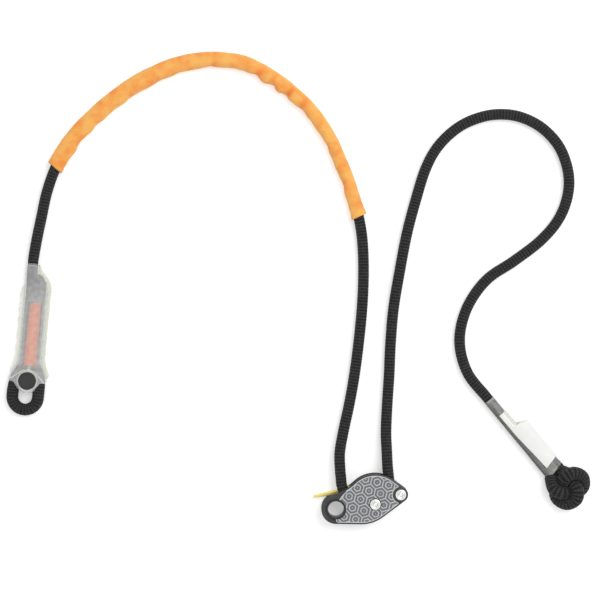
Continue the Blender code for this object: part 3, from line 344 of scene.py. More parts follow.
def lay(route):
    # a route lies on the table, apart from its own lift
    return np.array(route) * mm + [0, 0, lying]


def eyeLine():
    # down the main strand, round a half circle below the plug, and back up the tail; each leg of the eye
    # spreads from side to wide by the given shares, and the third number is a share of the droop
    side, wide, crotch, tail = (leftEnd[k] for k in ("pressedSide", "eyeHalf", "crotch", "tail"))
    swing, spread = leftEnd["eyeLength"] - wide, wide - side
    leg = np.array([(side, crotch + 14 * mm, 0), (side, crotch + 4 * mm, 0),
                    (side + 0.10 * spread, 0.82 * crotch, 0), (side + 0.46 * spread, 0.50 * crotch, 0),
                    (side + 0.86 * spread, 0.18 * crotch, 0), (wide, -0.20 * swing, 0.1),
                    (wide, -0.62 * swing, 0.35)])
    a = np.pi * np.arange(13) / 12
    bend = np.stack([-wide * np.cos(a), -swing - wide * np.sin(a), 0.4 + 0.6 * np.sin(a)], 1)
    down = [(-strandSide, leftEnd["length"], 0), (-strandSide, leftEnd["length"] - 8 * mm, 0),
            (-side, leftEnd["pressedTo"], 0)]
    up = [(side, leftEnd["pressedTo"], 0), (side - 0.3 * mm, tail - 13 * mm, 0),
          (side - 2.2 * mm, tail - 6 * mm, 0), (side - 4.6 * mm, tail, 0)]
    points = np.vstack([down, leg * [-1, 1, 1], bend, leg[::-1], up])
    points[:, 0] -= leftEnd["sway"] * ramp(14 * mm - points[:, 1], 26 * mm)  # it hangs a little to one side
    points[:, 2] = leftEnd["height"] - leftEnd["droop"] * points[:, 2]
    return placed(leftEnd, throughPoints(points))


def knotLine():
    # an overhand knot on a torus: reach = ring + sway cos(1.5 a), height = lift (1 + sin(1.5 a)), and the
    # lift grows from 0.3 of itself where the strand comes in
    side, pressed, height = strandSide, rightEnd["pressedSide"], rightEnd["height"]
    a = np.linspace(np.pi + rightEnd["entry"], 5 * np.pi - rightEnd["exit"], 21)
    phase, turned = 1.5 * (a - np.pi), a + rightEnd["turn"]
    reach = rightEnd["ring"] + rightEnd["sway"] * np.cos(phase)
    high = lying + rightEnd["lift"] * (1 + np.sin(phase)) * np.clip(0.3 + (a - a[0]) / 1.1, 0, 1)
    knot = np.stack([rightEnd["knotPlace"] + reach * np.cos(turned), reach * np.sin(turned), high], 1)
    start = [(x, -side, height) for x in (-rightEnd["length"], -12 * mm, 3.5 * mm)]
    finish = [(0, side, height), (-12 * mm, pressed, height), (-rightEnd["tail"], pressed, height)]
    return placed(rightEnd, throughPoints(np.vstack([start, knot, finish])))


inside = throughPoints(np.array([(x, y, insideHeight) for x, y in insideRoute]) * mm + eyeCentre)
enter, leave = unit(inside[0] - inside[1]), unit(inside[-1] - inside[-2])
# each run starts and ends with two points in line with the stretch that it meets
gaps = np.array([6, rope["cutGap"]]) * mm
leftMouth = placed(leftEnd, [(-strandSide, leftEnd["length"] + d, leftEnd["height"]) for d in gaps[::-1]])
rightMouth = placed(rightEnd, [(-rightEnd["length"] - d, -strandSide, rightEnd["height"]) for d in gaps])
plateGaps = np.array([7, rope["cutGap"]])[:, None] * mm
longRun = throughPoints(np.vstack([leftMouth, lay(longRoute), inside[0] + enter * plateGaps]))
shortRun = throughPoints(np.vstack([inside[-1] + leave * plateGaps[::-1], lay(shortRoute), rightMouth]))
stretches = [eyeLine()[::-1], longRun, inside, shortRun, knotLine()]
ends = np.cumsum([lengthsAlong(s)[-1] for s in stretches])
wholeLine = spacedBy(np.vstack(stretches), rope["lineStep"])  # the one rope, from its left to its right tail
walked = lengthsAlong(wholeLine)
# the rope is cut where a cover or a plate hides it, at these distances from the ends of the first stretches
joins = {"underLeftSeam": -62 * mm, "intoPlates": 26 * mm, "outOfPlates": -27 * mm, "underLabel": 48 * mm}
ropeCuts = [0.0, *(ends[:4] + list(joins.values())), walked[-1]]

protector = {"start": 104 * mm, "length": 457 * mm, "wall": 0.9 * mm, "step": 1.5 * mm, "sides": 72,
             "halfHeight": 6.7 * mm, "roundness": 2.3, "around": 47 * mm, "overlap": 12 * mm,
             "halfWidths": ((0, 9.4), (0.1, 8.8), (0.3, 9.2), (0.5, 7.9), (0.65, 7.4), (0.8, 7.0),
                            (0.95, 7.1), (1, 7.9))}  # at a share of the length, mm
coverStart = ends[0] + protector["start"]
coverEnd = coverStart + protector["length"]


def braid(turn, along):
    # two families of yarns, a = n (turn + along / lay) and b = n (turn - along / lay). Where floor(a) +
    # floor(b) is even the first is on top, and stands |sin(pi a)|^0.8 |sin(pi b)|^0.35 high; else they swap
    n, power, cross = rope["yarnsEachWay"], rope["crestPower"], rope["crossPower"]
    a, b = n * (turn + along / rope["lay"]), n * (turn - along / rope["lay"])
    over = (np.floor(a) + np.floor(b)) % 2 == 0
    sinA, sinB = np.abs(np.sin(np.pi * a)), np.abs(np.sin(np.pi * b))
    return np.where(over, sinA**power * sinB**cross, sinB**power * sinA**cross)


def ropePiece(name, first, last, look, fuller):
    # rings between two places along the whole line, few of them where the protector hides them, and each
    # ring's radius is the rope's, with the swell and the braid added
    at = np.arange(round((last - first) / rope["step"]) + 1) * rope["step"] + first
    at[-1] = last
    covered = (at >= coverStart + protector["overlap"]) & (at <= coverEnd - protector["overlap"])
    at = at[~covered | (np.arange(len(at)) % round(rope["hiddenStep"] / rope["step"]) == 0)]
    line = readOff(at, walked, wholeLine)
    turn = np.arange(rope["sides"]) / rope["sides"]
    relief = rope["relief"] * (braid(turn, at[:, None]) - rope["yarnHeight"])
    fromTail = np.minimum(at / leftEnd["bevel"], (walked[-1] - at) / rightEnd["bevel"])
    radius = rope["radius"] * np.sqrt(1 - np.clip(1 - fromTail, 0, 0.999) ** 2)  # its tails are melted domes
    grid = tubeGrid(line, radius + fuller(at), rope["sides"], relief)
    grid[..., 2] = np.maximum(grid[..., 2], rope["restGap"] / 2)  # what rests on the table is pressed flat
    return gridPiece(name, grid, look, rowUv=at), line


swell = {"knot": 1.5 * mm, "free": 0.2 * mm, "held": -0.15 * mm, "eye": 0.8 * mm}  # more radius


def knotSwell(at):
    # the strands of the knot press on each other and spread
    into = ramp(at - ends[3] - rightEnd["length"] - 3.5 * mm, 5 * mm)
    out = ramp(walked[-1] - rightEnd["tail"] - 2 * mm - at, 5 * mm)
    return swell["knot"] * into * out


def freeSwell(at):
    # out of the covers and the plates the rope lies relaxed, which starts 1.6 mm past their edges
    held = np.array([ends[0], *ropeCuts[2:4], ends[3]])
    free = (at > ends[0]) & (at < ends[3])
    return swell["free"] * ramp(np.abs(at[:, None] - held).min(1) - 1.6 * mm, 8 * mm) * free


def heldSwell(at):
    # between the plates it is drawn tight, so even its crests stay inside the plain rope's radius
    return np.full(len(at), swell["held"])


def eyeSwell(at):
    # the bend of the eye, from the crotch round to the crotch, lies free and is a little fuller
    into = ramp(at - leftEnd["tail"] - 1 * mm, 12 * mm)
    out = ramp(ends[0] - leftEnd["length"] - 1 * mm - at, 12 * mm)
    return swell["eye"] * into * out


def seamLook(name, colour):
    # bonded polyester thread, twisted and lightly waxed: a soft gleam, and painted shade between its plies,
    # where its bump is low
    look, tree, surface = newLook(name, colour, 0.55)
    coords = addNode(tree, "TexCoord", out="Object")
    twist = addNode(tree, "TexNoise", coords, sockets={"Scale": 1800.0, "Detail": 2.0})
    addNode(tree, "Bump", sockets={"Strength": 0.5, "Distance": 0.1 * mm, "Height": twist}, out="Normal",
            into=surface["Normal"])
    # painted shade: the colour darkens where the bump is low
    dark = [0.72 * c for c in toLinear(colour)[:3]] + [1.0]
    addNode(tree, "Mix", data_type="RGBA", sockets={0: twist, 6: dark, 7: toLinear(colour)}, out=2,
            into=surface["Base Color"])
    surface["Sheen Weight"].default_value = 0.3
    return look


def sheathLook():
    # black polyester sheath, braided over a core: near black, with painted light on each yarn's crest and
    # painted shade between the yarns
    look, tree, surface = newLook("braided polyester sheath", "#1E1E1F", 0.74)
    yarns = float(rope["yarnsEachWay"])
    turn, along = addNode(tree, "SeparateXYZ", addNode(tree, "UVMap", uv_map="surface")).node.outputs[:2]
    slant = addNode(tree, "Math", along, 1 / rope["lay"], operation="MULTIPLY")
    a, b = (addNode(tree, "Math", turn, slant, operation=way) for way in ("ADD", "SUBTRACT"))
    a, b = (addNode(tree, "Math", x, yarns, operation="MULTIPLY") for x in (a, b))
    floors, under = overUnder(tree, a, b)
    top = addNode(tree, "Mix", under, None, a, b)
    low = addNode(tree, "Mix", under, None, b, a)
    waves = [addNode(tree, "Math", ridge(tree, x), power, operation="POWER")
             for x, power in ((top, rope["crestPower"]), (low, rope["crossPower"]))]
    crest = addNode(tree, "Math", *waves, operation="MULTIPLY")
    fibre = addNode(tree, "Math", top, 10 * math.pi, operation="MULTIPLY")
    fibre = addNode(tree, "Math", fibre, operation="SINE")
    height = addNode(tree, "Math", fibre, 0.07, crest, operation="MULTIPLY_ADD")
    addNode(tree, "Bump", sockets={"Strength": 0.8, "Distance": 0.25 * mm, "Height": height}, out="Normal",
            into=surface["Normal"])
    chance = addNode(tree, "TexWhiteNoise", addNode(tree, "CombineXYZ", *floors))
    fleck = addNode(tree, "MapRange", chance, 0.5, 1.0, 0.0, 0.3)
    # painted light and shade in ribs across the rope, one rib to every other row of crests
    rib = addNode(tree, "Math", slant, 2 * math.pi * yarns, operation="MULTIPLY")
    rib = addNode(tree, "MapRange", addNode(tree, "Math", rib, operation="COSINE"), -0.6, 0.8, 0.1, 1.0)
    # painted light and shade: the crests paler than the gaps between the yarns, and the crests of every other
    # row darker
    paintedCrestLight = addNode(tree, "MapRange", crest, 0.0, 1.0, 0.25, 1.0)
    paintedCrestLight = addNode(tree, "Math", paintedCrestLight, rib, operation="MULTIPLY")
    body = addNode(tree, "Mix", data_type="RGBA", out=2,
                   sockets={0: paintedCrestLight, 6: toLinear("#070708"), 7: toLinear("#3E3E3F")})
    addNode(tree, "Mix", data_type="RGBA", out=2, sockets={0: fleck, 6: body, 7: toLinear("#424243")},
            into=surface["Base Color"])
    surface["Specular IOR Level"].default_value = 0.22  # the fibres trap most of the gloss
    surface["Sheen Weight"].default_value = 0.1
    surface["Sheen Roughness"].default_value = 0.4
    return look


ropeLook = sheathLook()
ropeParts = (("eyeRope", "left_eye_rope", eyeSwell), ("ropeLong", "rope_long_run", freeSwell),
             ("ropeInPlates", "rope_in_adjuster", heldSwell), ("ropeShort", "rope_short_run", freeSwell),
             ("knotRope", "stopper_knot_rope", knotSwell))
ropes, ropeLines = {}, {}
for (name, node, fuller), first, last in zip(ropeParts, ropeCuts[:-1], ropeCuts[1:]):
    ropes[name], ropeLines[name] = ropePiece(name, first, last, ropeLook, fuller)
    keep(ropes[name], [node])
print("rope of", round(walked[-1] * 1000), "mm laid")


def clothLook():
    # orange nylon tube, woven flat and pulled over the rope: matt, its threads read as a fine grain; painted
    # light on the thread tops and painted shade in the folds
    look, tree, surface = newLook("woven nylon tube", "#FFAC52", 0.82)
    thread = 0.9 * mm  # about twice the real thread, which is too fine to show
    cloth = addNode(tree, "SeparateXYZ", addNode(tree, "UVMap", uv_map="surface")).node.outputs
    warp, weft = (addNode(tree, "Math", cloth[k], 1 / thread, operation="MULTIPLY") for k in (0, 1))
    _, under = overUnder(tree, warp, weft)
    weave = addNode(tree, "Mix", under, None, ridge(tree, warp), ridge(tree, weft))
    coords = addNode(tree, "TexCoord", out="Object")
    crumple = addNode(tree, "TexNoise", coords, sockets={"Scale": 75.0, "Detail": 3.0, "Roughness": 0.55})
    height = addNode(tree, "Math", crumple, 3.2, weave, operation="MULTIPLY_ADD")
    addNode(tree, "Bump", sockets={"Strength": 0.6, "Distance": 0.22 * mm, "Height": height}, out="Normal",
            into=surface["Normal"])
    # painted shade: darker orange in the folds, read from a value stored on the piece; and darker patches
    # where the crumple noise is high
    creaseShade = addNode(tree, "Attribute", attribute_name="creaseShade", out="Fac")
    crumpleDarkening = addNode(tree, "MapRange", crumple, 0.4, 0.68, 0.0, 0.65)
    shade = addNode(tree, "Math", creaseShade, crumpleDarkening, operation="ADD", use_clamp=True)
    # painted light and shade: each thread's top paler and the gaps between the threads darker
    body = addNode(tree, "Mix", data_type="RGBA", out=2,
                   sockets={0: weave, 6: toLinear("#FFAE45"), 7: toLinear("#FFC369")})
    addNode(tree, "Mix", data_type="RGBA", out=2, sockets={0: shade, 6: body, 7: toLinear("#FB8832")},
            into=surface["Base Color"])
    surface["Sheen Weight"].default_value = 0.2
    return look


folds = {  # each fold: place along the tube, depth, width and lean, all in mm
    "places": ((262, 1.7, 4.0, 1.2), (283, 2.4, 3.4, -1.0), (301, 2.2, 3.2, 1.4), (325, 1.1, 4.5, -1.8),
               (210, 0.9, 4.2, 1.5), (66, 0.7, 4.5, 1.6), (38, 0.6, 5.0, -1.3), (112, 0.7, 5.5, 1.0),
               (150, 0.8, 6.0, -1.4), (374, 0.7, 5.5, 1.2), (420, 0.6, 5.0, -1.0)),
    # each wave: length in mm, phase, turns round the tube, height in mm
    "waves": ((41, 0.9, 1, 0.30), (27, 2.1, -2, 0.22), (15.5, 0.4, 3, 0.14), (9.3, 1.7, -4, 0.07)),
    "askew": (0.3, -0.2), "askewOver": 14 * mm, "pinch": 1.4 * mm, "pinchOver": 8 * mm, "flare": 1.2 * mm,
    "flareOver": 10 * mm, "hem": 0.3 * mm, "hemPlace": 0.9 * mm, "hemWide": 0.7 * mm}


def protectorPiece():
    # Each section is a rounded box. Waves a sin(2 pi s / p + q + k angle) swell it all round, and each fold
    # sinks its inner side by depth bell(off / width) between two low ridges. The ends have a small hem. The
    # inner side is pinched at the start, the outer side flares at the far end, and both ends are cut askew.
    length = protector["length"]
    s = np.linspace(0, length, round(length / protector["step"]) + 1)
    line = readOff(coverStart + s, walked, wholeLine)
    ahead, across, over = levelFrames(line)
    a = roundTurn(protector["sides"])
    share, half = np.array(protector["halfWidths"]).T
    half = np.interp(s / length, share, half) * mm
    innerSide, outerSide = (0.5 - 0.5 * np.cos(a)) ** 1.5, (0.5 + 0.5 * np.cos(a)) ** 1.5
    fuller = sum(size * mm * np.sin(2 * np.pi * s[:, None] / (p * mm) + q + k * a)
                 for p, q, k, size in folds["waves"]) * (0.4 + 0.6 * innerSide)
    creaseShade = np.zeros_like(fuller)
    for place, depth, width, lean in folds["places"]:
        off = (s[:, None] - (place + lean * 2 * np.sin(a)) * mm) / (width * mm)
        fuller = fuller + mm * depth * innerSide * (0.45 * bell(np.abs(off) - 2.4, 1.5) - bell(off, 1))
        creaseShade = creaseShade + innerSide * depth / 2.4 * bell(off, 1 / 1.3)
    fromEnd = np.minimum(s, s[-1] - s)
    fuller = fuller * ramp(fromEnd, 8 * mm, 0.25)[:, None]
    fuller = fuller + folds["hem"] * bell(fromEnd - folds["hemPlace"], folds["hemWide"])[:, None]
    fuller = fuller - folds["pinch"] * innerSide * np.exp(-s / folds["pinchOver"])[:, None]
    fuller = fuller + folds["flare"] * outerSide * np.exp((s - s[-1]) / folds["flareOver"])[:, None]
    skew = sum(k * np.clip(1 - off / folds["askewOver"], 0, 1) ** 2
               for k, off in zip(folds["askew"], (s, s[-1] - s)))
    side = across + skew[:, None] * ahead  # a point moves along by a share of how far across it is
    boxX, boxZ = roundedBox(a, protector["roundness"])
    sheets = []
    for skin, rest in ((0.0, 0.15 * mm), (protector["wall"], 0.9 * mm)):
        x = (half[:, None] - skin + fuller) * boxX
        z = (protector["halfHeight"] - skin + 0.5 * fuller) * boxZ
        grid = line[:, None] + x[..., None] * side[:, None] + z[..., None] * over[:, None]
        grid[..., 2] = np.maximum(grid[..., 2], rest)  # it rests on the table
        sheets.append(grid)
    inner = slice(None, None, -6)  # the inside needs few rings
    piece = gridPiece("protector", np.vstack([sheets[0], sheets[1][inner]]), clothLook(), wrapRows=True,
                      turnUv=protector["around"], rowUv=np.concatenate([s, s[inner]]))
    # painted shade: the colour darkens in each fold and where the surface sinks in
    pointValues(piece, "creaseShade", np.clip(creaseShade * 0.75 - fuller / mm * 0.25, 0, 1))
    return keep(piece, ["protector_sleeve"])


protectorTube = protectorPiece()
print("protector pulled over")


def clearLook(name, colour, alpha, roughness, cloudy, grain=(1.0, 1.0, 1.0), turn=0.0, paintedShadeSide=None,
              uneven=False):
    # clear vinyl, moulded: milky where it is thick, and it takes a broad soft highlight
    look, tree, surface = newLook(name, colour, roughness, ior=1.53, alpha=alpha)
    coords = addNode(tree, "TexCoord", out="Object")
    turned = addNode(tree, "Mapping", coords, sockets={"Rotation": (0, 0, turn)})
    stretched = addNode(tree, "Mapping", turned, sockets={"Scale": grain})
    cloud = addNode(tree, "TexNoise", stretched, sockets={"Scale": 210.0, "Detail": 3.0})
    milky = addNode(tree, "MapRange", cloud, 0.32, 0.68, alpha - cloudy, alpha + cloudy)
    # painted shade: where the film is clearer the dark rope shows through, so that side reads as if in shade
    if paintedShadeSide:  # clearer round one side: from here to there, as shares of a turn, and by this factor
        around = addNode(tree, "SeparateXYZ", addNode(tree, "UVMap", uv_map="surface"))
        fading = addNode(tree, "MapRange", around, paintedShadeSide[0], paintedShadeSide[1], 1.0, paintedShadeSide[2])
        milky = addNode(tree, "Math", milky, fading, operation="MULTIPLY")
    if uneven:  # and by the piece's own "thicker", a share more or less at each point
        factor = addNode(tree, "Math", addNode(tree, "Attribute", attribute_name="thicker", out="Fac"), 1.0)
        milky = addNode(tree, "Math", milky, factor, operation="MULTIPLY")
    tree.links.new(milky, surface["Alpha"])
    ripple = addNode(tree, "TexNoise", coords, sockets={"Scale": 330.0, "Detail": 2.0})
    addNode(tree, "Bump", sockets={"Strength": 0.35, "Distance": 0.3 * mm, "Height": ripple}, out="Normal",
            into=surface["Normal"])
    return look


coverLook = clearLook("frosted clear vinyl", "#FDFFFD", 0.385, 0.38, 0.05, uneven=True)
thinLook = clearLook("thin clear vinyl", "#E6EAD6", 0.42, 0.25, 0.08)  # a little green, as its edges are
# the two flanges are one vinyl with two alphas, as painted light: the outer flange lies on the side away from
# the lamp and has the thinner film, so more white table shows through and its shade is lifted
innerFlangeLook = clearLook("clear vinyl, lit side", "#DFE3D0", 0.54, 0.25, 0.08)
outerFlangeLook = clearLook("clear vinyl thinned as painted light", "#E9EDDA", 0.33, 0.25, 0.08)
# extruded polyolefin tube: grey and hazy, in streaks along it that the shrinking leaves
# its film is clearer round part of its turn, so the dark rope shows through: painted shade on the side away
# from the lamp
sleeveLook = clearLook("clear heat shrink", "#CFD0CC", 0.33, 0.3, 0.16, (0.2, 1.0, 1.0), -rightEnd["tilt"],
                       (0.3, 0.4, 0.35))
orangeThread = seamLook("bonded polyester thread", "#FF8418")
blackThread = seamLook("black bonded thread", "#1E1E1F")

leftSeam = {"start": 16.3 * mm, "length": 66.4 * mm, "half": 7.5 * mm, "taper": 1.3 * mm, "shift": 1.3 * mm,
            "passes": 84, "thread": 0.44 * mm, "valley": 0.88}
cover = {"roundness": 2.5, "wall": 1.6 * mm, "sides": 80, "step": 1.2 * mm, "fit": 0.3 * mm,
         "lipFit": 0.15 * mm, "collar": 0.35 * mm, "collarLong": 5 * mm, "collarPitch": 2.2 * mm,
         "ripple": 0.2 * mm, "ripplePitch": 19 * mm, "rippleEnd": 98 * mm, "rippleOver": 12 * mm,
         # the film's share more or less, and where: from and to beside the seam, how deep on the seam, from
         # and over what length on the neck and at the mouth, and the middle and width over the crotch
         "beside": (0.2, 12 * mm, 92 * mm), "touching": (-0.16, 1.2 * mm), "neck": (-0.18, 98 * mm, 8 * mm),
         "overCrotch": (-0.15, 13.6 * mm, 2.2 * mm), "atMouth": (-0.5, 121.3 * mm, 0.8 * mm)}
flange = {"reach": 3.8 * mm, "half": 1.3 * mm, "scallop": 14 * mm, "scallopDepth": 1.3 * mm,
          "bulge": 1.0 * mm, "bulgePlace": 112 * mm, "bulgeWide": 7 * mm, "insideWall": 1.4 * mm,
          "fadeIn": 5 * mm, "fadeOut": 9 * mm, "rows": 220, "sides": 24, "roundness": 3.2}
coverEdges = throughPoints(np.array([  # place along, left edge, right edge, half height
    (124, -13.25, 1.55, 7.4), (117, -13.25, 1.6, 7.4), (113.5, -13.25, 3.4, 7.4), (110, -13.25, 6.4, 7.4),
    (106.5, -13.2, 9.4, 7.4), (102.5, -13.0, 11.6, 7.4), (97, -12.8, 12.5, 7.4), (88, -12.5, 12.3, 7.4),
    (60, -12.3, 12.1, 7.4), (30, -12.4, 12.2, 7.4), (22, -13.0, 12.7, 7.4), (17, -14.6, 14.0, 7.4),
    (11, -17.6, 16.6, 7.4), (5, -20.0, 18.8, 7.4), (0, -21.2, 19.6, 7.4), (-3.0, -17.6, 16.4, 7.4),
    (-6.5, -13.4, 12.6, 7.1), (-10.4, -9.0, 8.6, 6.5), (-13, -4.4, 4.2, 5.3)]) * mm, 16)
coverStations = np.stack([coverEdges[:, 0], (coverEdges[:, 1] + coverEdges[:, 2]) / 2,
                          (coverEdges[:, 2] - coverEdges[:, 1]) / 2, coverEdges[:, 3]], 1)


def loft(end, stations, roundness, sides, middleHeight, alongX=False, ripple=0.0, lean=0.0):
    # a station is a place, a middle, a half width and a half height; its section is a rounded box round the
    # middle height that rests on the table, and it can lean: place + lean * across
    place, middle, wide, tall = (np.asarray(stations)[:, k, None] for k in range(4))
    boxX, boxZ = roundedBox(roundTurn(sides), roundness)
    x = middle + (wide + ripple) * boxX
    z = np.maximum(middleHeight + tall * boxZ, 0.1 * mm)
    along = place + lean * x
    return placed(end, np.stack([along, x, z] if alongX else [x, along, z], -1))


def leftCover():
    # a loft through the stations, with a lip turned in at the mouth: half width + collar cos(2 pi d / pitch)
    # just inside the mouth, + ripple sin(2 pi place / pitch) between the crotch and the neck
    body = spacedBy(coverStations, cover["step"])
    place, mouth = body[:, 0], leftEnd["length"]
    collar = ramp(cover["collarLong"] - (mouth - place), cover["collarLong"])
    collar = cover["collar"] * collar * np.cos((mouth - place) * 2 * np.pi / cover["collarPitch"])
    smooth = ramp(np.minimum(cover["rippleEnd"] - place, place - leftEnd["crotch"]), cover["rippleOver"])
    body[:, 2:] += collar[:, None]
    body[:, 2] += cover["ripple"] * np.sin(place * 2 * np.pi / cover["ripplePitch"]) * smooth
    inner, outer = rope["radius"] + cover["lipFit"], rope["radius"] + cover["fit"] + cover["wall"]
    lip = [(mouth - back * mm, -strandSide, half, half) for back, half in (
        (3, inner), (0.4, inner), (0.1, inner + 0.3 * mm), (0, outer - 0.5 * mm))]
    stations = np.vstack([lip, body])
    grid = loft(leftEnd, stations, cover["roundness"], cover["sides"], leftEnd["height"])
    piece = gridPiece("leftCover", grid, coverLook, sharpOver=50)
    # thicker is the sum of five shares, each with its own place along and across the cover
    beside, besideFrom, besideTo = cover["beside"]
    pressed, pressedOver = cover["touching"]
    neck, neckFrom, neckOver = cover["neck"]
    crotch, crotchMiddle, crotchWide = cover["overCrotch"]
    lipped, lipFrom, lipOver = cover["atMouth"]
    place = stations[:, :1]
    boxX = roundedBox(roundTurn(cover["sides"]), cover["roundness"])[0]
    across = stations[:, 1:2] + stations[:, 2:3] * boxX
    inAlong = leftSeam["length"] / 2 - np.abs(place - leftSeam["start"] - leftSeam["length"] / 2)
    inAcross = leftSeam["half"] - np.abs(across - leftSeam["shift"])
    touching = np.clip(np.minimum(inAlong, inAcross) / pressedOver + 0.7, 0, 1)
    besideIt = (1 - touching) * ramp(besideTo - place, 8 * mm) * ramp(place - besideFrom, 6 * mm)
    thicker = (beside * besideIt + pressed * touching + neck * ramp(place - neckFrom, neckOver)
               + crotch * bell(place - crotchMiddle, crotchWide) + lipped * ramp(place - lipFrom, lipOver))
    pointValues(piece, "thicker", thicker)
    return keep(piece, ["left_cover"])


def leftFlange(name, side, low, high, scalloped, look):
    # a strip beside the cover, from just inside its wall to an edge that is straight or a row of bumps
    # |sin(pi y / pitch)|, with a bulge near the neck, and it fades out at both ends
    y = np.linspace(low, high, flange["rows"])[::-1]
    order = np.argsort(coverStations[:, 0])
    edge = np.interp(y, coverStations[order, 0], (side * coverStations[:, 1] + coverStations[:, 2])[order])
    reach = flange["reach"] + flange["bulge"] * bell(y - flange["bulgePlace"], flange["bulgeWide"])
    if scalloped:
        reach = reach + flange["scallopDepth"] * (np.abs(np.sin(np.pi * y / flange["scallop"])) - 0.7)
    fade = ramp(np.minimum((y - low) / flange["fadeIn"], (high - y) / flange["fadeOut"]), 1, 0.02) ** 0.6
    start, finish = edge - flange["insideWall"], edge + reach * fade
    stations = np.stack([y, side * (start + finish) / 2, (finish - start) / 2, flange["half"] * fade**0.5], 1)
    grid = loft(leftEnd, stations, flange["roundness"], flange["sides"], leftEnd["height"])
    return keep(gridPiece(name, grid, look))


def zigzag(name, end, seam, middle, up, look, node, alongX=False):
    # thread to and fro over both strands: across = half * asin(sin(pi t)) * 2/pi, along = start + length t /
    # passes, height = the strand's own circle sqrt(r^2 - (|across| - side)^2), never below most of r
    t = np.linspace(0, seam["passes"], seam["passes"] * 14 + 1)
    half = seam["half"] + seam["taper"] * (0.5 - t / seam["passes"])
    x = half * np.arcsin(0.985 * np.sin(np.pi * (t + 0.5))) * 2 / np.pi + seam["shift"]
    y = seam["start"] + seam["length"] * t / seam["passes"]
    circle = rope["radius"] ** 2 - (np.abs(x) - strandSide) ** 2
    rise = np.sqrt(np.maximum(circle, (seam["valley"] * rope["radius"]) ** 2)) + 0.6 * seam["thread"]
    z = middle + up * rise
    line = placed(end, np.stack([y, x, z] if alongX else [x, y, z], 1))
    return keep(gridPiece(name, tubeGrid(line, seam["thread"], 8), look), [node])


def rubberLook():
    # injection moulded rubber: matt black with a faint skin grain, drawn coarser than the real one to show
    look, tree, surface = newLook("moulded rubber", "#242425", 0.5)
    coords = addNode(tree, "TexCoord", out="Object")
    grain = addNode(tree, "TexNoise", coords, sockets={"Scale": 2500.0, "Detail": 2.0})
    addNode(tree, "Bump", sockets={"Strength": 0.3, "Distance": 0.06 * mm, "Height": grain}, out="Normal",
            into=surface["Normal"])
    addNode(tree, "MapRange", grain, 0.3, 0.7, 0.42, 0.6, into=surface["Roughness"])
    return look


plugSizes = {  # mm; profiles are (radius, height), from the plug's middle
    "top": 15.3, "profile": ((0, 4.2), (3.9, 4.2), (3.9, 13.1), (9.3, 13.1)), "rounding": 0.35,
    "face": ((9.3, 0), (7.75, 0), (7.6, -0.3), (7.1, -0.3), (6.95, -0.05), (4.6, -0.1), (4.3, -0.2),
             (0, -0.15)),  # from the top
    "ring": (9.6, 11.0), "ringTop": (12.4, 15.0), "ringUnder": (0.25, 2.3), "ringRounding": 0.6,
    "rib": ((-18.2, 1.0, 11.9), (-14.5, 4.0, 13.3), (-10.5, 7.2, 14.1), (-6.0, 10.2, 14.7), (0, 11.6, 14.9),
            (6.0, 10.0, 14.7), (10.5, 6.3, 14.1), (14.5, 2.2, 13.2), (17.8, -1.2, 12.0)), "ribRadius": 0.6,
    "tab": ((13.0, 0, 0.8, 0.35), (12.7, 0, 1.5, 0.9), (11.9, 0, 1.8, 1.0), (10.8, 0, 1.7, 1.0),
            (10.3, 0, 1.0, 0.4)), "tabHeight": 14.6}


def plugPiece():
    # turned about the eye's middle: a stem and a flat head, whose face has a groove and a dished middle
    rubber = rubberLook()
    face = np.array(plugSizes["face"]) + [0, plugSizes["top"]]
    profile = softCorners(np.vstack([plugSizes["profile"], face]) * mm, plugSizes["rounding"] * mm)
    plug = turnedPiece("eyePlug", profile, leftEnd["place"], rubber)
    nodes["eye_plug_underside"].material_slots[0].material = rubber
    return keep(plug, ["eye_plug_top"])


def plugRings():
    # a turned ring above and below, a rib that runs from the flare's corners up to the ring, and a small tab
    pieces = []
    inner, outer = plugSizes["ring"]
    for name, heights in (("plugRingTop", "ringTop"), ("plugRingUnder", "ringUnder")):
        low, high = plugSizes[heights]
        ring = np.array([(inner, low), (outer, low), (outer, high), (inner, high)]) * mm
        ring = softCorners(ring, plugSizes["ringRounding"] * mm, closed=True)
        pieces.append(turnedPiece(name, ring, leftEnd["place"], coverLook, closed=True))
    rib = placed(leftEnd, throughPoints(np.array(plugSizes["rib"]) * mm, 8))
    pieces.append(gridPiece("coverRib", tubeGrid(rib, plugSizes["ribRadius"] * mm, 12), coverLook))
    tab = spacedBy(np.array(plugSizes["tab"]) * mm, 0.3 * mm)
    pieces.append(gridPiece("coverTab", loft(leftEnd, tab, 3, 24, plugSizes["tabHeight"] * mm), thinLook))
    return [keep(piece) for piece in pieces]


leftCoverPiece = leftCover()
flanges = [leftFlange("leftFlangeOuter", -1, 8 * mm, 101 * mm, True, outerFlangeLook),
           leftFlange("leftFlangeInner", 1, 3 * mm, 123 * mm, False, innerFlangeLook)]
plug, plugTrim = plugPiece(), plugRings()
leftSeams = [zigzag(name, leftEnd, leftSeam, leftEnd["height"], up, orangeThread, node)
             for name, up, node in (("leftSeamTop", 1, "left_stitching_top"),
                                    ("leftSeamUnder", -1, "left_stitching_underside"))]
print("left end covered")

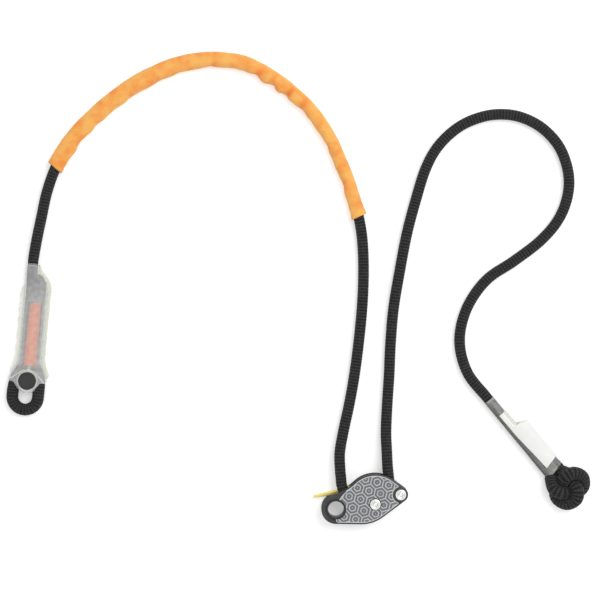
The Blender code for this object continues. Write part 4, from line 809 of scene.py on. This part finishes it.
sleeve = {"wall": 0.8 * mm, "roundness": 2.5, "sides": 72, "step": 1.0 * mm, "fit": 0.3 * mm,
          "lipFit": 0.15 * mm, "ripples": ((0.14 * mm, 9 * mm, 0), (0.09 * mm, 5.3 * mm, 1)),
          "askew": -0.2, "askewOver": 24 * mm, "askewShift": 2.2 * mm}  # a ripple: height, pitch, phase
web = {"start": -81.5 * mm, "end": -60.5 * mm, "half": 2.7 * mm, "rise": 7.3 * mm, "insideEdge": 2.2 * mm,
       "fade": 2.5 * mm, "rows": 50}
slim = rope["radius"] + sleeve["fit"] + sleeve["wall"]
wide, middle = (strandSide + rightEnd["pressedSide"]) / 2 + slim, (rightEnd["pressedSide"] - strandSide) / 2
tailEnd, mouth = -rightEnd["tail"], -rightEnd["length"]
sleeveStations = throughPoints([  # place, middle, half width, half height
    (mouth, -strandSide, slim, slim), (tailEnd - 9 * mm, -strandSide, slim, slim),
    (tailEnd - 5 * mm, -0.75 * strandSide, slim + 0.25 * (wide - slim), slim),
    (tailEnd - 1 * mm, -0.1 * strandSide + 0.9 * middle, slim + 0.9 * (wide - slim), slim),
    (tailEnd + 4 * mm, middle, wide, slim), (0, middle, wide, slim)], 16)


def rightSleeve():
    # shrunk on, so it ripples: half width + each ripple's height sin(2 pi x / pitch + phase). Both its mouths
    # turn in to the rope, and its knot end is cut askew.
    body = spacedBy(sleeveStations, sleeve["step"])
    ripple = sum(high * np.sin(body[:, :1] * 2 * np.pi / pitch + phase)
                 for high, pitch, phase in sleeve["ripples"])
    lipIn, lipOut = rope["radius"] + sleeve["lipFit"], wide - sleeve["wall"]
    start = [(mouth + 2.5 * mm, -strandSide, lipIn, lipIn), (mouth + 0.2 * mm, -strandSide, lipIn, lipIn),
             (mouth, -strandSide, slim - 0.3 * mm, slim - 0.3 * mm)]
    finish = [(0, middle, wide - 0.3 * mm, slim - 0.3 * mm), (-0.2 * mm, middle, lipOut, lipIn),
              (-2.5 * mm, middle, lipOut, lipIn)]
    ripple = np.vstack([np.zeros((3, 1)), ripple, np.zeros((3, 1))])
    stations = np.vstack([start, body, finish])
    cut = ramp(stations[:, :1] + sleeve["askewOver"], sleeve["askewOver"])
    stations[:, :1] += cut * sleeve["askewShift"]
    grid = loft(rightEnd, stations, sleeve["roundness"], sleeve["sides"], slim, True, ripple,
                sleeve["askew"] * cut)
    return keep(gridPiece("rightSleeve", grid, sleeveLook, sharpOver=50), ["right_cover"])


def rightWeb():
    # the flattened edge of the shrink tube beside the single strand: a thin loft that fades out at both ends
    x = np.linspace(web["start"], web["end"], web["rows"])
    edge = np.interp(x, sleeveStations[:, 0], sleeveStations[:, 1] + sleeveStations[:, 2])
    full = ramp(np.minimum(x - web["start"], web["end"] - x), web["fade"], 0.05) ** 0.5
    stations = np.stack([x, edge - web["insideEdge"], web["half"] * full, web["rise"] * full], 1)
    grid = loft(rightEnd, stations, 3, 20, slim, True)
    return keep(gridPiece("sleeveWeb", grid, thinLook))


def filmLook():
    # white polyester film, nothing printed on it: satin, a little wavy where the strand under it steps, and
    # painted paler on the rises of its waves and greyer in their dips, as light and shade
    look, tree, surface = newLook("white polyester film", "#EDEDEA", 0.42)
    coords = addNode(tree, "TexCoord", out="Object")
    wave = addNode(tree, "TexNoise", coords, sockets={"Scale": 90.0, "Detail": 2.0})
    addNode(tree, "Bump", sockets={"Strength": 0.35, "Distance": 0.5 * mm, "Height": wave}, out="Normal",
            into=surface["Normal"])
    addNode(tree, "Mix", data_type="RGBA", out=2, into=surface["Base Color"],
            sockets={0: wave, 6: toLinear("#E6E6E2"), 7: toLinear("#F4F4F2")})
    return look


labelFilm = {  # mm, and degrees
    "fromKnot": 7.3, "length": 73.2, "thick": 0.5, "lift": 0.3, "step": 0.7, "columns": 40, "wrapTo": -7.0,
    "wrapFrom": 4.4, "edge": ((-81, -8.2), (-62, -7.8), (-49.5, -7.4), (-26, -5.7), (-7, -4.5)),
    "otherEdge": -0.4, "askew": -0.22, "askewFrom": 31, "askewOver": 24}


def labelPiece():
    # the film lies on the sleeve's rounded box: across = middle + (half + skin) |cos|^(2/n), height = slim +
    # (slim + skin) |sin|^(2/n). One edge runs slowly over the strand; the other lies on the strand, and wraps
    # down the side where the tail is. Its knot end is cut askew like the sleeve's.
    last = -labelFilm["fromKnot"]
    first, wrap = last - labelFilm["length"], tailEnd / mm - labelFilm["wrapFrom"]
    at = np.arange(first, last, labelFilm["step"])
    at = np.unique(np.concatenate([at, [wrap, wrap + labelFilm["lift"], last]]))[:, None]
    order = np.argsort(sleeveStations[:, 0])
    middleHere, half = (np.interp(at * mm, sleeveStations[order, 0], sleeveStations[order, k]) / mm
                        for k in (1, 2))
    lowEdge = np.interp(at, *np.array(labelFilm["edge"]).T)
    edges = [np.clip((y - middleHere) / half, -1, 1) for y in (lowEdge, labelFilm["otherEdge"] + 0 * at)]
    high, low = (np.degrees(np.arccos(np.sign(e) * np.abs(e) ** (sleeve["roundness"] / 2))) for e in edges)
    low = np.where(at > wrap, labelFilm["wrapTo"], low)
    angle = np.radians(low + (high - low) * np.linspace(0, 1, labelFilm["columns"]))
    x, z = roundedBox(angle, sleeve["roundness"])
    skew = labelFilm["askew"] * ramp(at + labelFilm["askewFrom"], labelFilm["askewOver"])
    skins = []
    for skin in (labelFilm["lift"] + labelFilm["thick"], labelFilm["lift"]):
        across = middleHere + (half + skin) * x
        skins.append(np.stack([at + skew * across, across, slim / mm + (slim / mm + skin) * z], -1))
    ring = np.concatenate([skins[0], skins[1][:, ::-1]], 1) * mm
    piece = gridPiece("blankLabel", placed(rightEnd, ring), filmLook(), sharpOver=50)
    return keep(piece, ["label"])


sleevePiece, webPiece, label = rightSleeve(), rightWeb(), labelPiece()
rightSeam = {"start": -51.7 * mm, "length": 31.4 * mm, "half": 4.2 * mm, "taper": 0.0, "shift": 0.0,
             "passes": 30, "thread": 0.42 * mm, "valley": 0.86}
rightSeams = [zigzag(name, rightEnd, rightSeam, slim, up, blackThread, node, True)
              for name, up, node in (("rightSeamTop", 1, "right_stitching_top"),
                                     ("rightSeamUnder", -1, "right_stitching_underside"))]
print("right end covered")

plates = {"thick": 3 * mm, "rearBottom": 0.0, "frontBottom": 17.4 * mm, "rounding": 0.9 * mm,
          "eyeHole": 8.5 * mm, "eyeWall": 6.9 * mm, "bellyRadius": 38.1 * mm, "bollardWall": 7.8 * mm,
          "humpRadius": 31.8 * mm, "waistRadius": 60 * mm, "arcStep": math.radians(2),
          "fieldInset": 1.7 * mm, "fieldLine": 0.75 * mm, "fieldEyeGap": 10.4, "fieldRivetGap": 8.6,
          "fieldAxleGap": 6.4, "fieldMiddle": (30 * mm, -5 * mm), "fieldRadius": 30.5 * mm,
          "fieldRise": 0.05 * mm, "fieldSunk": 0.15 * mm, "lineRise": 0.09 * mm, "lineSunk": 0.1 * mm}
cutters = {  # (radius, height) in mm, from below the rear plate to above the front one
    "low": 10, "high": 30, "shank": ((0, -4), (5.3, -4), (5.3, 0.2), (2.9, 1.6), (2.9, 30), (0, 30)),
    "bore": ((0, -4), (11.3, -4), (11.3, 1.2), (10.0, 1.2), (10.0, 19.2), (11.3, 19.2), (11.3, 30), (0, 30))}
frontTop = plates["frontBottom"] + plates["thick"]


def arc(centre, radius, start, finish):
    # centre + radius (cos a, sin a), anticlockwise
    sweep = (finish - start) % (2 * np.pi)
    a = start + sweep * np.linspace(0, 1, max(3, math.ceil(sweep / plates["arcStep"])) + 1)
    return np.stack([centre[0] + radius * np.cos(a), centre[1] + radius * np.sin(a)], 1)


def heading(v):
    # a direction's angle on the table
    return math.atan2(v[1], v[0])


def touchingLine(first, firstRadius, second, secondRadius):
    # outer normal of the line that touches two circles on their right side
    line = second - first
    return heading(line) - math.acos((firstRadius - secondRadius) / np.linalg.norm(line))


def plateOutline():
    # arcs round the eye, the belly, the bollard and the axle, joined by touching lines, and a hollow arc that
    # touches the first and the last of them
    eyeRadius, bellyRadius, bollardRadius, humpRadius, waistRadius = (
        plates["eyeHole"] + plates["eyeWall"], plates["bellyRadius"], plates["bollardWall"],
        plates["humpRadius"], plates["waistRadius"])
    line, r1, r2 = axle - eyePlace, eyeRadius + waistRadius, humpRadius + waistRadius
    along = (r1**2 - r2**2 + line @ line) / (2 * np.linalg.norm(line))
    u = unit(line)
    waist = eyePlace + u * along + np.array([-u[1], u[0]]) * math.sqrt(r1**2 - along**2)
    toHump, toEye = heading(axle - waist), heading(eyePlace - waist)
    a = touchingLine(eyePlace, eyeRadius, belly, bellyRadius)
    b = touchingLine(belly, bellyRadius, bollard, bollardRadius)
    c = touchingLine(bollard, bollardRadius, axle, humpRadius)
    return np.vstack([arc(eyePlace, eyeRadius, toEye + np.pi, a), arc(belly, bellyRadius, a, b),
                      arc(bollard, bollardRadius, b, c), arc(axle, humpRadius, c, toHump + np.pi),
                      arc(waist, waistRadius, toEye, toHump)[::-1][1:-1]])


def inset(outline, distance):
    # every point moves along the mean of its two inward normals
    side = unit(np.roll(outline, -1, 0) - outline)
    inward = np.stack([-side[:, 1], side[:, 0]], 1)
    return outline + unit(inward + np.roll(inward, 1, 0)) * distance


def insetRings(outline, insets, heights):
    # one ring of the outline for each inset and its height
    return np.stack([np.column_stack([inset(outline, d), np.full(len(outline), h)])
                     for d, h in zip(insets, heights)])


def flatPiece(name, outline, bottom, top, rounding, look, steps=5):
    # the outline carried up a rounded rim: inset r (1 - sin t), height r (1 - cos t) from each face, and a
    # face shuts each end
    t = np.linspace(0, np.pi / 2, steps)
    drop, rise = rounding * (1 - np.sin(t)), rounding * (1 - np.cos(t))
    insets, heights = np.concatenate([drop, drop[::-1]]), np.concatenate([bottom + rise, top - rise[::-1]])
    rings = insetRings(outline, insets, heights)
    rows, cols = rings.shape[:2]
    faces = ringQuads(rows, cols)[3]
    faces += [np.arange(cols)[::-1].tolist(), ((rows - 1) * cols + np.arange(cols)).tolist()]
    return buildMesh(name, rings, faces, look, sharpOver=32)


def anodisedLook(name, colour, edge, metallic, roughness):
    # anodised aluminium, tumbled before dyeing: satin, and paler where it is rubbed; its grain is drawn
    # coarser than the real one, so that it shows
    look, tree, surface = newLook(name, colour, roughness, metallic=metallic)
    coords = addNode(tree, "TexCoord", out="Object")
    grain = addNode(tree, "TexNoise", coords, sockets={"Scale": 2200.0, "Detail": 2.0})
    smear = addNode(tree, "TexNoise", coords, sockets={"Scale": 120.0, "Detail": 4.0})
    addNode(tree, "Bump", sockets={"Strength": 0.25, "Distance": 0.05 * mm, "Height": grain}, out="Normal",
            into=surface["Normal"])
    addNode(tree, "MapRange", smear, 0.3, 0.7, roughness - 0.06, roughness + 0.08, into=surface["Roughness"])
    rubbed = addNode(tree, "MapRange", smear, 0.5, 0.8, 0.0, 0.6)
    addNode(tree, "Mix", data_type="RGBA", sockets={0: rubbed, 6: toLinear(colour), 7: toLinear(edge)}, out=2,
            into=surface["Base Color"])
    return look


def steelLook(name, colour, roughness, scale, stretch=1.0):
    # machined steel: a bright metal, its tool marks run one way as long fine streaks
    look, tree, surface = newLook(name, colour, roughness, metallic=1.0)
    coords = addNode(tree, "TexCoord", out="Object")
    marks = addNode(tree, "Mapping", coords, sockets={"Scale": (1.0, 1.0, stretch)})
    marks = addNode(tree, "TexNoise", marks, sockets={"Scale": scale, "Detail": 3.0})
    addNode(tree, "Bump", sockets={"Strength": 0.2, "Distance": 0.04 * mm, "Height": marks}, out="Normal",
            into=surface["Normal"])
    addNode(tree, "MapRange", marks, 0.3, 0.7, roughness - 0.05, roughness + 0.1, into=surface["Roughness"])
    return look


def facedLook():
    # stainless steel faced on a lathe and polished: white and bright, with two thin darker rings on its face
    # and painted shade at its rim
    look, tree, surface = newLook("lathe faced stainless steel", "#E4E4DF", 0.26, metallic=1.0)
    # the second number of the map is the distance from the rivet's middle
    reach = addNode(tree, "SeparateXYZ", addNode(tree, "UVMap", uv_map="surface"), out=1)
    rings = addNode(tree, "Math", reach, 2 * math.pi / (0.5 * mm), operation="MULTIPLY")
    rings = addNode(tree, "Math", rings, operation="SINE")
    # painted shade in a ring at the rim, where the head rolls down to the plate, and two thin darker rings on
    # the face, at the dimple's edge and between it and the rim
    inner, between, rim = (addNode(tree, "Math", reach, place * mm, width * mm, operation="COMPARE")
                           for place, width in ((2.35, 0.22), (3.9, 0.16), (5.65, 0.3)))
    darkRingsAndRimShade = addNode(tree, "Math", inner, between, operation="MAXIMUM")
    darkRingsAndRimShade = addNode(tree, "Math", darkRingsAndRimShade, rim, operation="MAXIMUM")
    bright = addNode(tree, "MapRange", rings, -1.0, 1.0, 0.0, 0.35)
    body = addNode(tree, "Mix", data_type="RGBA", out=2,
                   sockets={0: bright, 6: toLinear("#EFEFEA"), 7: toLinear("#CFCFCA")})
    darkRingsAndRimShare = addNode(tree, "Math", darkRingsAndRimShade, 0.65, operation="MULTIPLY")
    addNode(tree, "Mix", data_type="RGBA", sockets={0: darkRingsAndRimShare, 6: body, 7: toLinear("#5E5E5B")}, out=2,
            into=surface["Base Color"])
    addNode(tree, "Bump", sockets={"Strength": 0.3, "Distance": 0.05 * mm, "Height": rings}, out="Normal",
            into=surface["Normal"])
    return look


motif = {"cell": 12.5 * mm, "line": 1.0 * mm, "turn": math.radians(14)}


def printedLook():
    # screen-printed epoxy ink on the anodised plate: mid grey, with paler hexagons one inside the other
    look, tree, surface = newLook("screen printed ink", "#6C6D70", 0.48)
    coords = addNode(tree, "TexCoord", out="Object")
    flatten = addNode(tree, "Mapping", coords, sockets={
        "Rotation": (0, 0, motif["turn"]), "Scale": (1 / motif["cell"], 1 / motif["cell"], 0)})
    # two grids of cells, each wrapped round its own middles, and the nearer middle counts
    half = (0.5, math.sqrt(3) / 2, 1.0)
    low = tuple(-h for h in half)
    toCorner = (half[0], half[1], 0)
    moved = addNode(tree, "VectorMath", flatten, toCorner, operation="ADD")
    first, second = (addNode(tree, "VectorMath", v, half, low, operation="WRAP") for v in (flatten, moved))
    far = [addNode(tree, "VectorMath", v, operation="LENGTH", out="Value") for v in (first, second)]
    nearer = addNode(tree, "Math", *far, operation="LESS_THAN")
    place = addNode(tree, "Mix", data_type="VECTOR", sockets={0: nearer, 4: second, 5: first}, out=1)
    place = addNode(tree, "VectorMath", place, operation="ABSOLUTE")
    slope, flatSide = (addNode(tree, "VectorMath", place, way, operation="DOT_PRODUCT", out="Value")
                       for way in (toCorner, (1, 0, 0)))
    reach = addNode(tree, "Math", slope, flatSide, operation="MAXIMUM")  # 0 in its middle, 0.5 at its side
    nearLine = addNode(tree, "Math", reach, 0.125, operation="PINGPONG")
    halfLine = motif["line"] / motif["cell"] / 2
    line = addNode(tree, "MapRange", nearLine, halfLine * 0.75, halfLine * 1.25, 1.0, 0.0)
    wear = addNode(tree, "TexNoise", coords, sockets={"Scale": 420.0, "Detail": 4.0})
    patchy = addNode(tree, "MapRange", wear, 0.3, 0.6, 0.62, 1.0)
    patchy = addNode(tree, "Math", line, patchy, operation="MULTIPLY")
    body = addNode(tree, "Mix", data_type="RGBA", out=2,
                   sockets={0: wear, 6: toLinear("#5F6063"), 7: toLinear("#737477")})
    addNode(tree, "Mix", data_type="RGBA", sockets={0: patchy, 6: body, 7: toLinear("#C9CACD")}, out=2,
            into=surface["Base Color"])
    addNode(tree, "Bump", sockets={"Strength": 0.4, "Distance": 0.05 * mm, "Height": line}, out="Normal",
            into=surface["Normal"])
    return look


blackPlate = anodisedLook("black anodised aluminium", "#3C3D3E", "#58595B", 0.55, 0.4)
goldLever = anodisedLook("gold anodised aluminium", "#F0DB80", "#F9ECA8", 0.7, 0.34)
rivetSteel = steelLook("polished stainless steel", "#F1F1EE", 0.2, 900.0)  # nearly a mirror, faint marks
facedSteel = facedLook()
groundSteel = steelLook("ground hardened steel", "#BDBDBB", 0.3, 500.0, 14.0)  # greyer, streaked round it
darkSteel = steelLook("blackened steel", "#3B3C3E", 0.36, 900.0, 4.0)  # oxide black with a dull gleam
springSteel = steelLook("drawn spring wire", "#9A9C9F", 0.28, 1400.0)  # smooth and grey from the die
bronze = steelLook("sintered bearing bronze", "#B98A52", 0.42, 2600.0)  # pressed powder, warm and matt
outline = plateOutline()


def rod(profile, place):
    # a turned cutter; a single radius stands for a plain one
    if np.isscalar(profile):
        low, high = cutters["low"], cutters["high"]
        profile = ((0, low), (profile, low), (profile, high), (0, high))
    return turnedPiece("rod", np.array(profile) * mm, place, blackPlate)


def sidePlate(name, bottom, node):
    plate = flatPiece(name, outline, bottom, bottom + plates["thick"], plates["rounding"], blackPlate)
    tools = [rod(cutters["shank"], axle), rod(cutters["shank"], bollard), rod(cutters["bore"], eyePlace)]
    keep(cutOut(plate, tools), [node])


def block(shape):
    # an outline carried through the front plate, to cut with
    low, high = cutters["low"] * mm, cutters["high"] * mm
    return flatPiece("block", shape, low, high, 0.02 * mm, blackPlate, steps=2)


def fieldGaps():
    # the connector eye, the bollard's rivet, and all that lies left of a big circle's left side
    side = arc(eyePlace + plates["fieldMiddle"], plates["fieldRadius"], math.radians(128), math.radians(237))
    corners = eyePlace + np.array([(-40, 45), (-40, -45)]) * mm
    return [rod(plates["fieldEyeGap"], eyePlace), rod(plates["fieldRivetGap"], bollard),
            block(np.vstack([corners, side[::-1]]))]


def printedField():
    field = flatPiece("printedField", inset(outline, plates["fieldInset"]), frontTop - plates["fieldSunk"],
                      frontTop + plates["fieldRise"], 0.02 * mm, printedLook(), steps=2)
    keep(cutOut(field, fieldGaps() + [rod(plates["fieldAxleGap"], axle)]))


def printedLines():
    # ink lines that edge the field: a strip between two insets of the outline, and a ring and an arc that
    # the outline cuts off
    look = newLook("pale printed ink", "#CFD0D3", 0.5)[0]
    near, far = plates["fieldInset"], plates["fieldInset"] + plates["fieldLine"]
    low, high = frontTop - plates["lineSunk"], frontTop + plates["lineRise"]
    strip = insetRings(outline, (near, far, far, near), (low, low, high, high)).swapaxes(0, 1)
    pieces = [cutOut(gridPiece("printedEdge", strip, look, wrapRows=True, sharpOver=30), fieldGaps())]
    start = plates["fieldRivetGap"] * mm
    end = start + plates["fieldLine"]
    profile = [(start, low), (end, low), (end, high), (start, high)]
    ring = turnedPiece("printedRivetArc", profile, bollard, look, closed=True)
    pieces.append(cutOut(ring, [block(inset(outline, near))], "INTERSECT"))
    centre, radius = eyePlace + plates["fieldMiddle"], plates["fieldRadius"]
    outer, inner = (arc(centre, r, math.radians(126), math.radians(239))
                    for r in (radius, radius - plates["fieldLine"]))
    band = flatPiece("printedEyeArc", np.vstack([outer, inner[::-1]]), low, high, 0.01 * mm, look, steps=2)
    band = cutOut(band, [block(inset(outline, near))], "INTERSECT")
    pieces.append(cutOut(band, [rod(plates["fieldEyeGap"], eyePlace)]))
    for piece in pieces:
        keep(piece)


sidePlate("rearPlate", plates["rearBottom"], "rear_side_plate")
sidePlate("frontPlate", plates["frontBottom"], "front_side_plate")
printedField()
printedLines()

rivetSizes = {  # mm; profiles are (radius, height)
    "foot": ((0, 0.2), (5.0, 0.2), (2.6, 1.6)), "shank": 2.6, "head": 5.8, "headUnder": 0.3, "headTop": 2.1,
    "rim": ((5.8, -0.75), (5.55, -0.2)), "faced": (5.0, 2.75), "ringPitch": 1.5, "ringDepth": 0.07,
    "dome": 0.02, "dimple": ((2.6, 0), (2.3, -0.2), (1.8, -0.85), (0.9, -0.75), (0, -0.6))}
bush = {"rounding": 0.4, "profile": ((8.5, 0.25), (11.0, 0.25), (11.0, 0.95), (9.7, 1.0), (9.7, 19.4),
                                     (11.0, 19.45), (11.0, 20.45), (8.5, 20.45))}
leverSizes = {  # mm, from the axle
    "tip": (-63.9, 6.9), "knee": (-19.5, 15.7), "bend": (-7, 12.6), "root": 6.6, "tipHalf": 1.5,
    "bottom": 3.3, "top": 5.8, "rounding": 0.7, "bore": 3.8, "rivetHole": 1.9,
    "rivets": ((-3, 18), (-9, 12.5))}


def rivet(name, place, node):
    # countersunk foot, shank, and a domed head faced on a lathe: its top falls in fine rings, depth sin^2,
    # and rises by the dome's slope towards a dimple in its middle
    under, top = (frontTop / mm + rivetSizes[k] for k in ("headUnder", "headTop"))
    faced = np.linspace(*rivetSizes["faced"], 40)
    rings = top - rivetSizes["ringDepth"] * np.sin(faced * 2 * np.pi / rivetSizes["ringPitch"]) ** 2
    rings = np.stack([faced, rings + rivetSizes["dome"] * (faced[0] - faced)], 1)
    low = [*rivetSizes["foot"], (rivetSizes["shank"], under), (rivetSizes["head"], under),
           *(np.array(rivetSizes["rim"]) + [0, top])]
    dimple = np.array(rivetSizes["dimple"]) + [0, top]
    profile = np.vstack([softCorners(low, 0.25), rings, softCorners(dimple, 0.2)]) * mm
    keep(turnedPiece(name, profile, place, facedSteel, sharpOver=60), [node])


def leverPiece():
    # a blade round the axle: its middle line and half width run through five places, and round ends close it
    tip, knee, root, tipHalf = (np.array(leverSizes[k]) for k in ("tip", "knee", "root", "tipHalf"))
    spine = throughPoints([(0, 0, root), (*leverSizes["bend"], 0.85 * root), (*knee, 0.53 * root),
                           (*((tip + knee) / 2), (0.45 * root + tipHalf) / 2 + 0.2), (*tip, tipHalf)], 12)
    ahead = unit(np.gradient(spine[:, :2], axis=0))
    side = np.stack([-ahead[:, 1], ahead[:, 0]], 1) * spine[:, 2:]
    left, right = spine[:, :2] + side, spine[:, :2] - side
    rootArc = arc((0, 0), root, heading(left[0]), heading(left[0]) + np.pi)[1:-1]
    point = heading(right[-1] - tip)
    tipArc = arc(tip, tipHalf, point, point + np.pi)[1:-1]
    edge = np.vstack([left[:1], rootArc, right, tipArc, left[1:][::-1]]) * mm + axle
    bottom, top, rounding = (leverSizes[k] * mm for k in ("bottom", "top", "rounding"))
    lever = flatPiece("releaseLever", edge, bottom, top, rounding, goldLever)
    holes = [(leverSizes["bore"], axle)]
    holes += [(leverSizes["rivetHole"], axle + np.array(p) * mm) for p in leverSizes["rivets"]]
    tools = [rod(((0, 0), (r, 0), (r, 8), (0, 8)), p) for r, p in holes]
    keep(cutOut(lever, tools), ["release_lever"], body="cam")


rivet("axleRivet", axle, "axle_rivet")
rivet("bollardRivet", bollard, "bollard_rivet")
bushProfile = softCorners(np.array(bush["profile"]) * mm, bush["rounding"] * mm, closed=True)
eyeBush = turnedPiece("eyeBush", bushProfile, eyePlace, darkSteel, closed=True)
keep(eyeBush, ["eye_bush"])
leverPiece()
for node, look in (("cam", groundSteel), ("cam_bush", bronze), ("return_spring", springSteel),
                   ("lever_rivet_1", rivetSteel), ("lever_rivet_2", rivetSteel),
                   ("bollard_sleeve", groundSteel), ("eye_spacer", blackPlate)):
    nodes[node].material_slots[0].material = look
print("adjuster assembled")
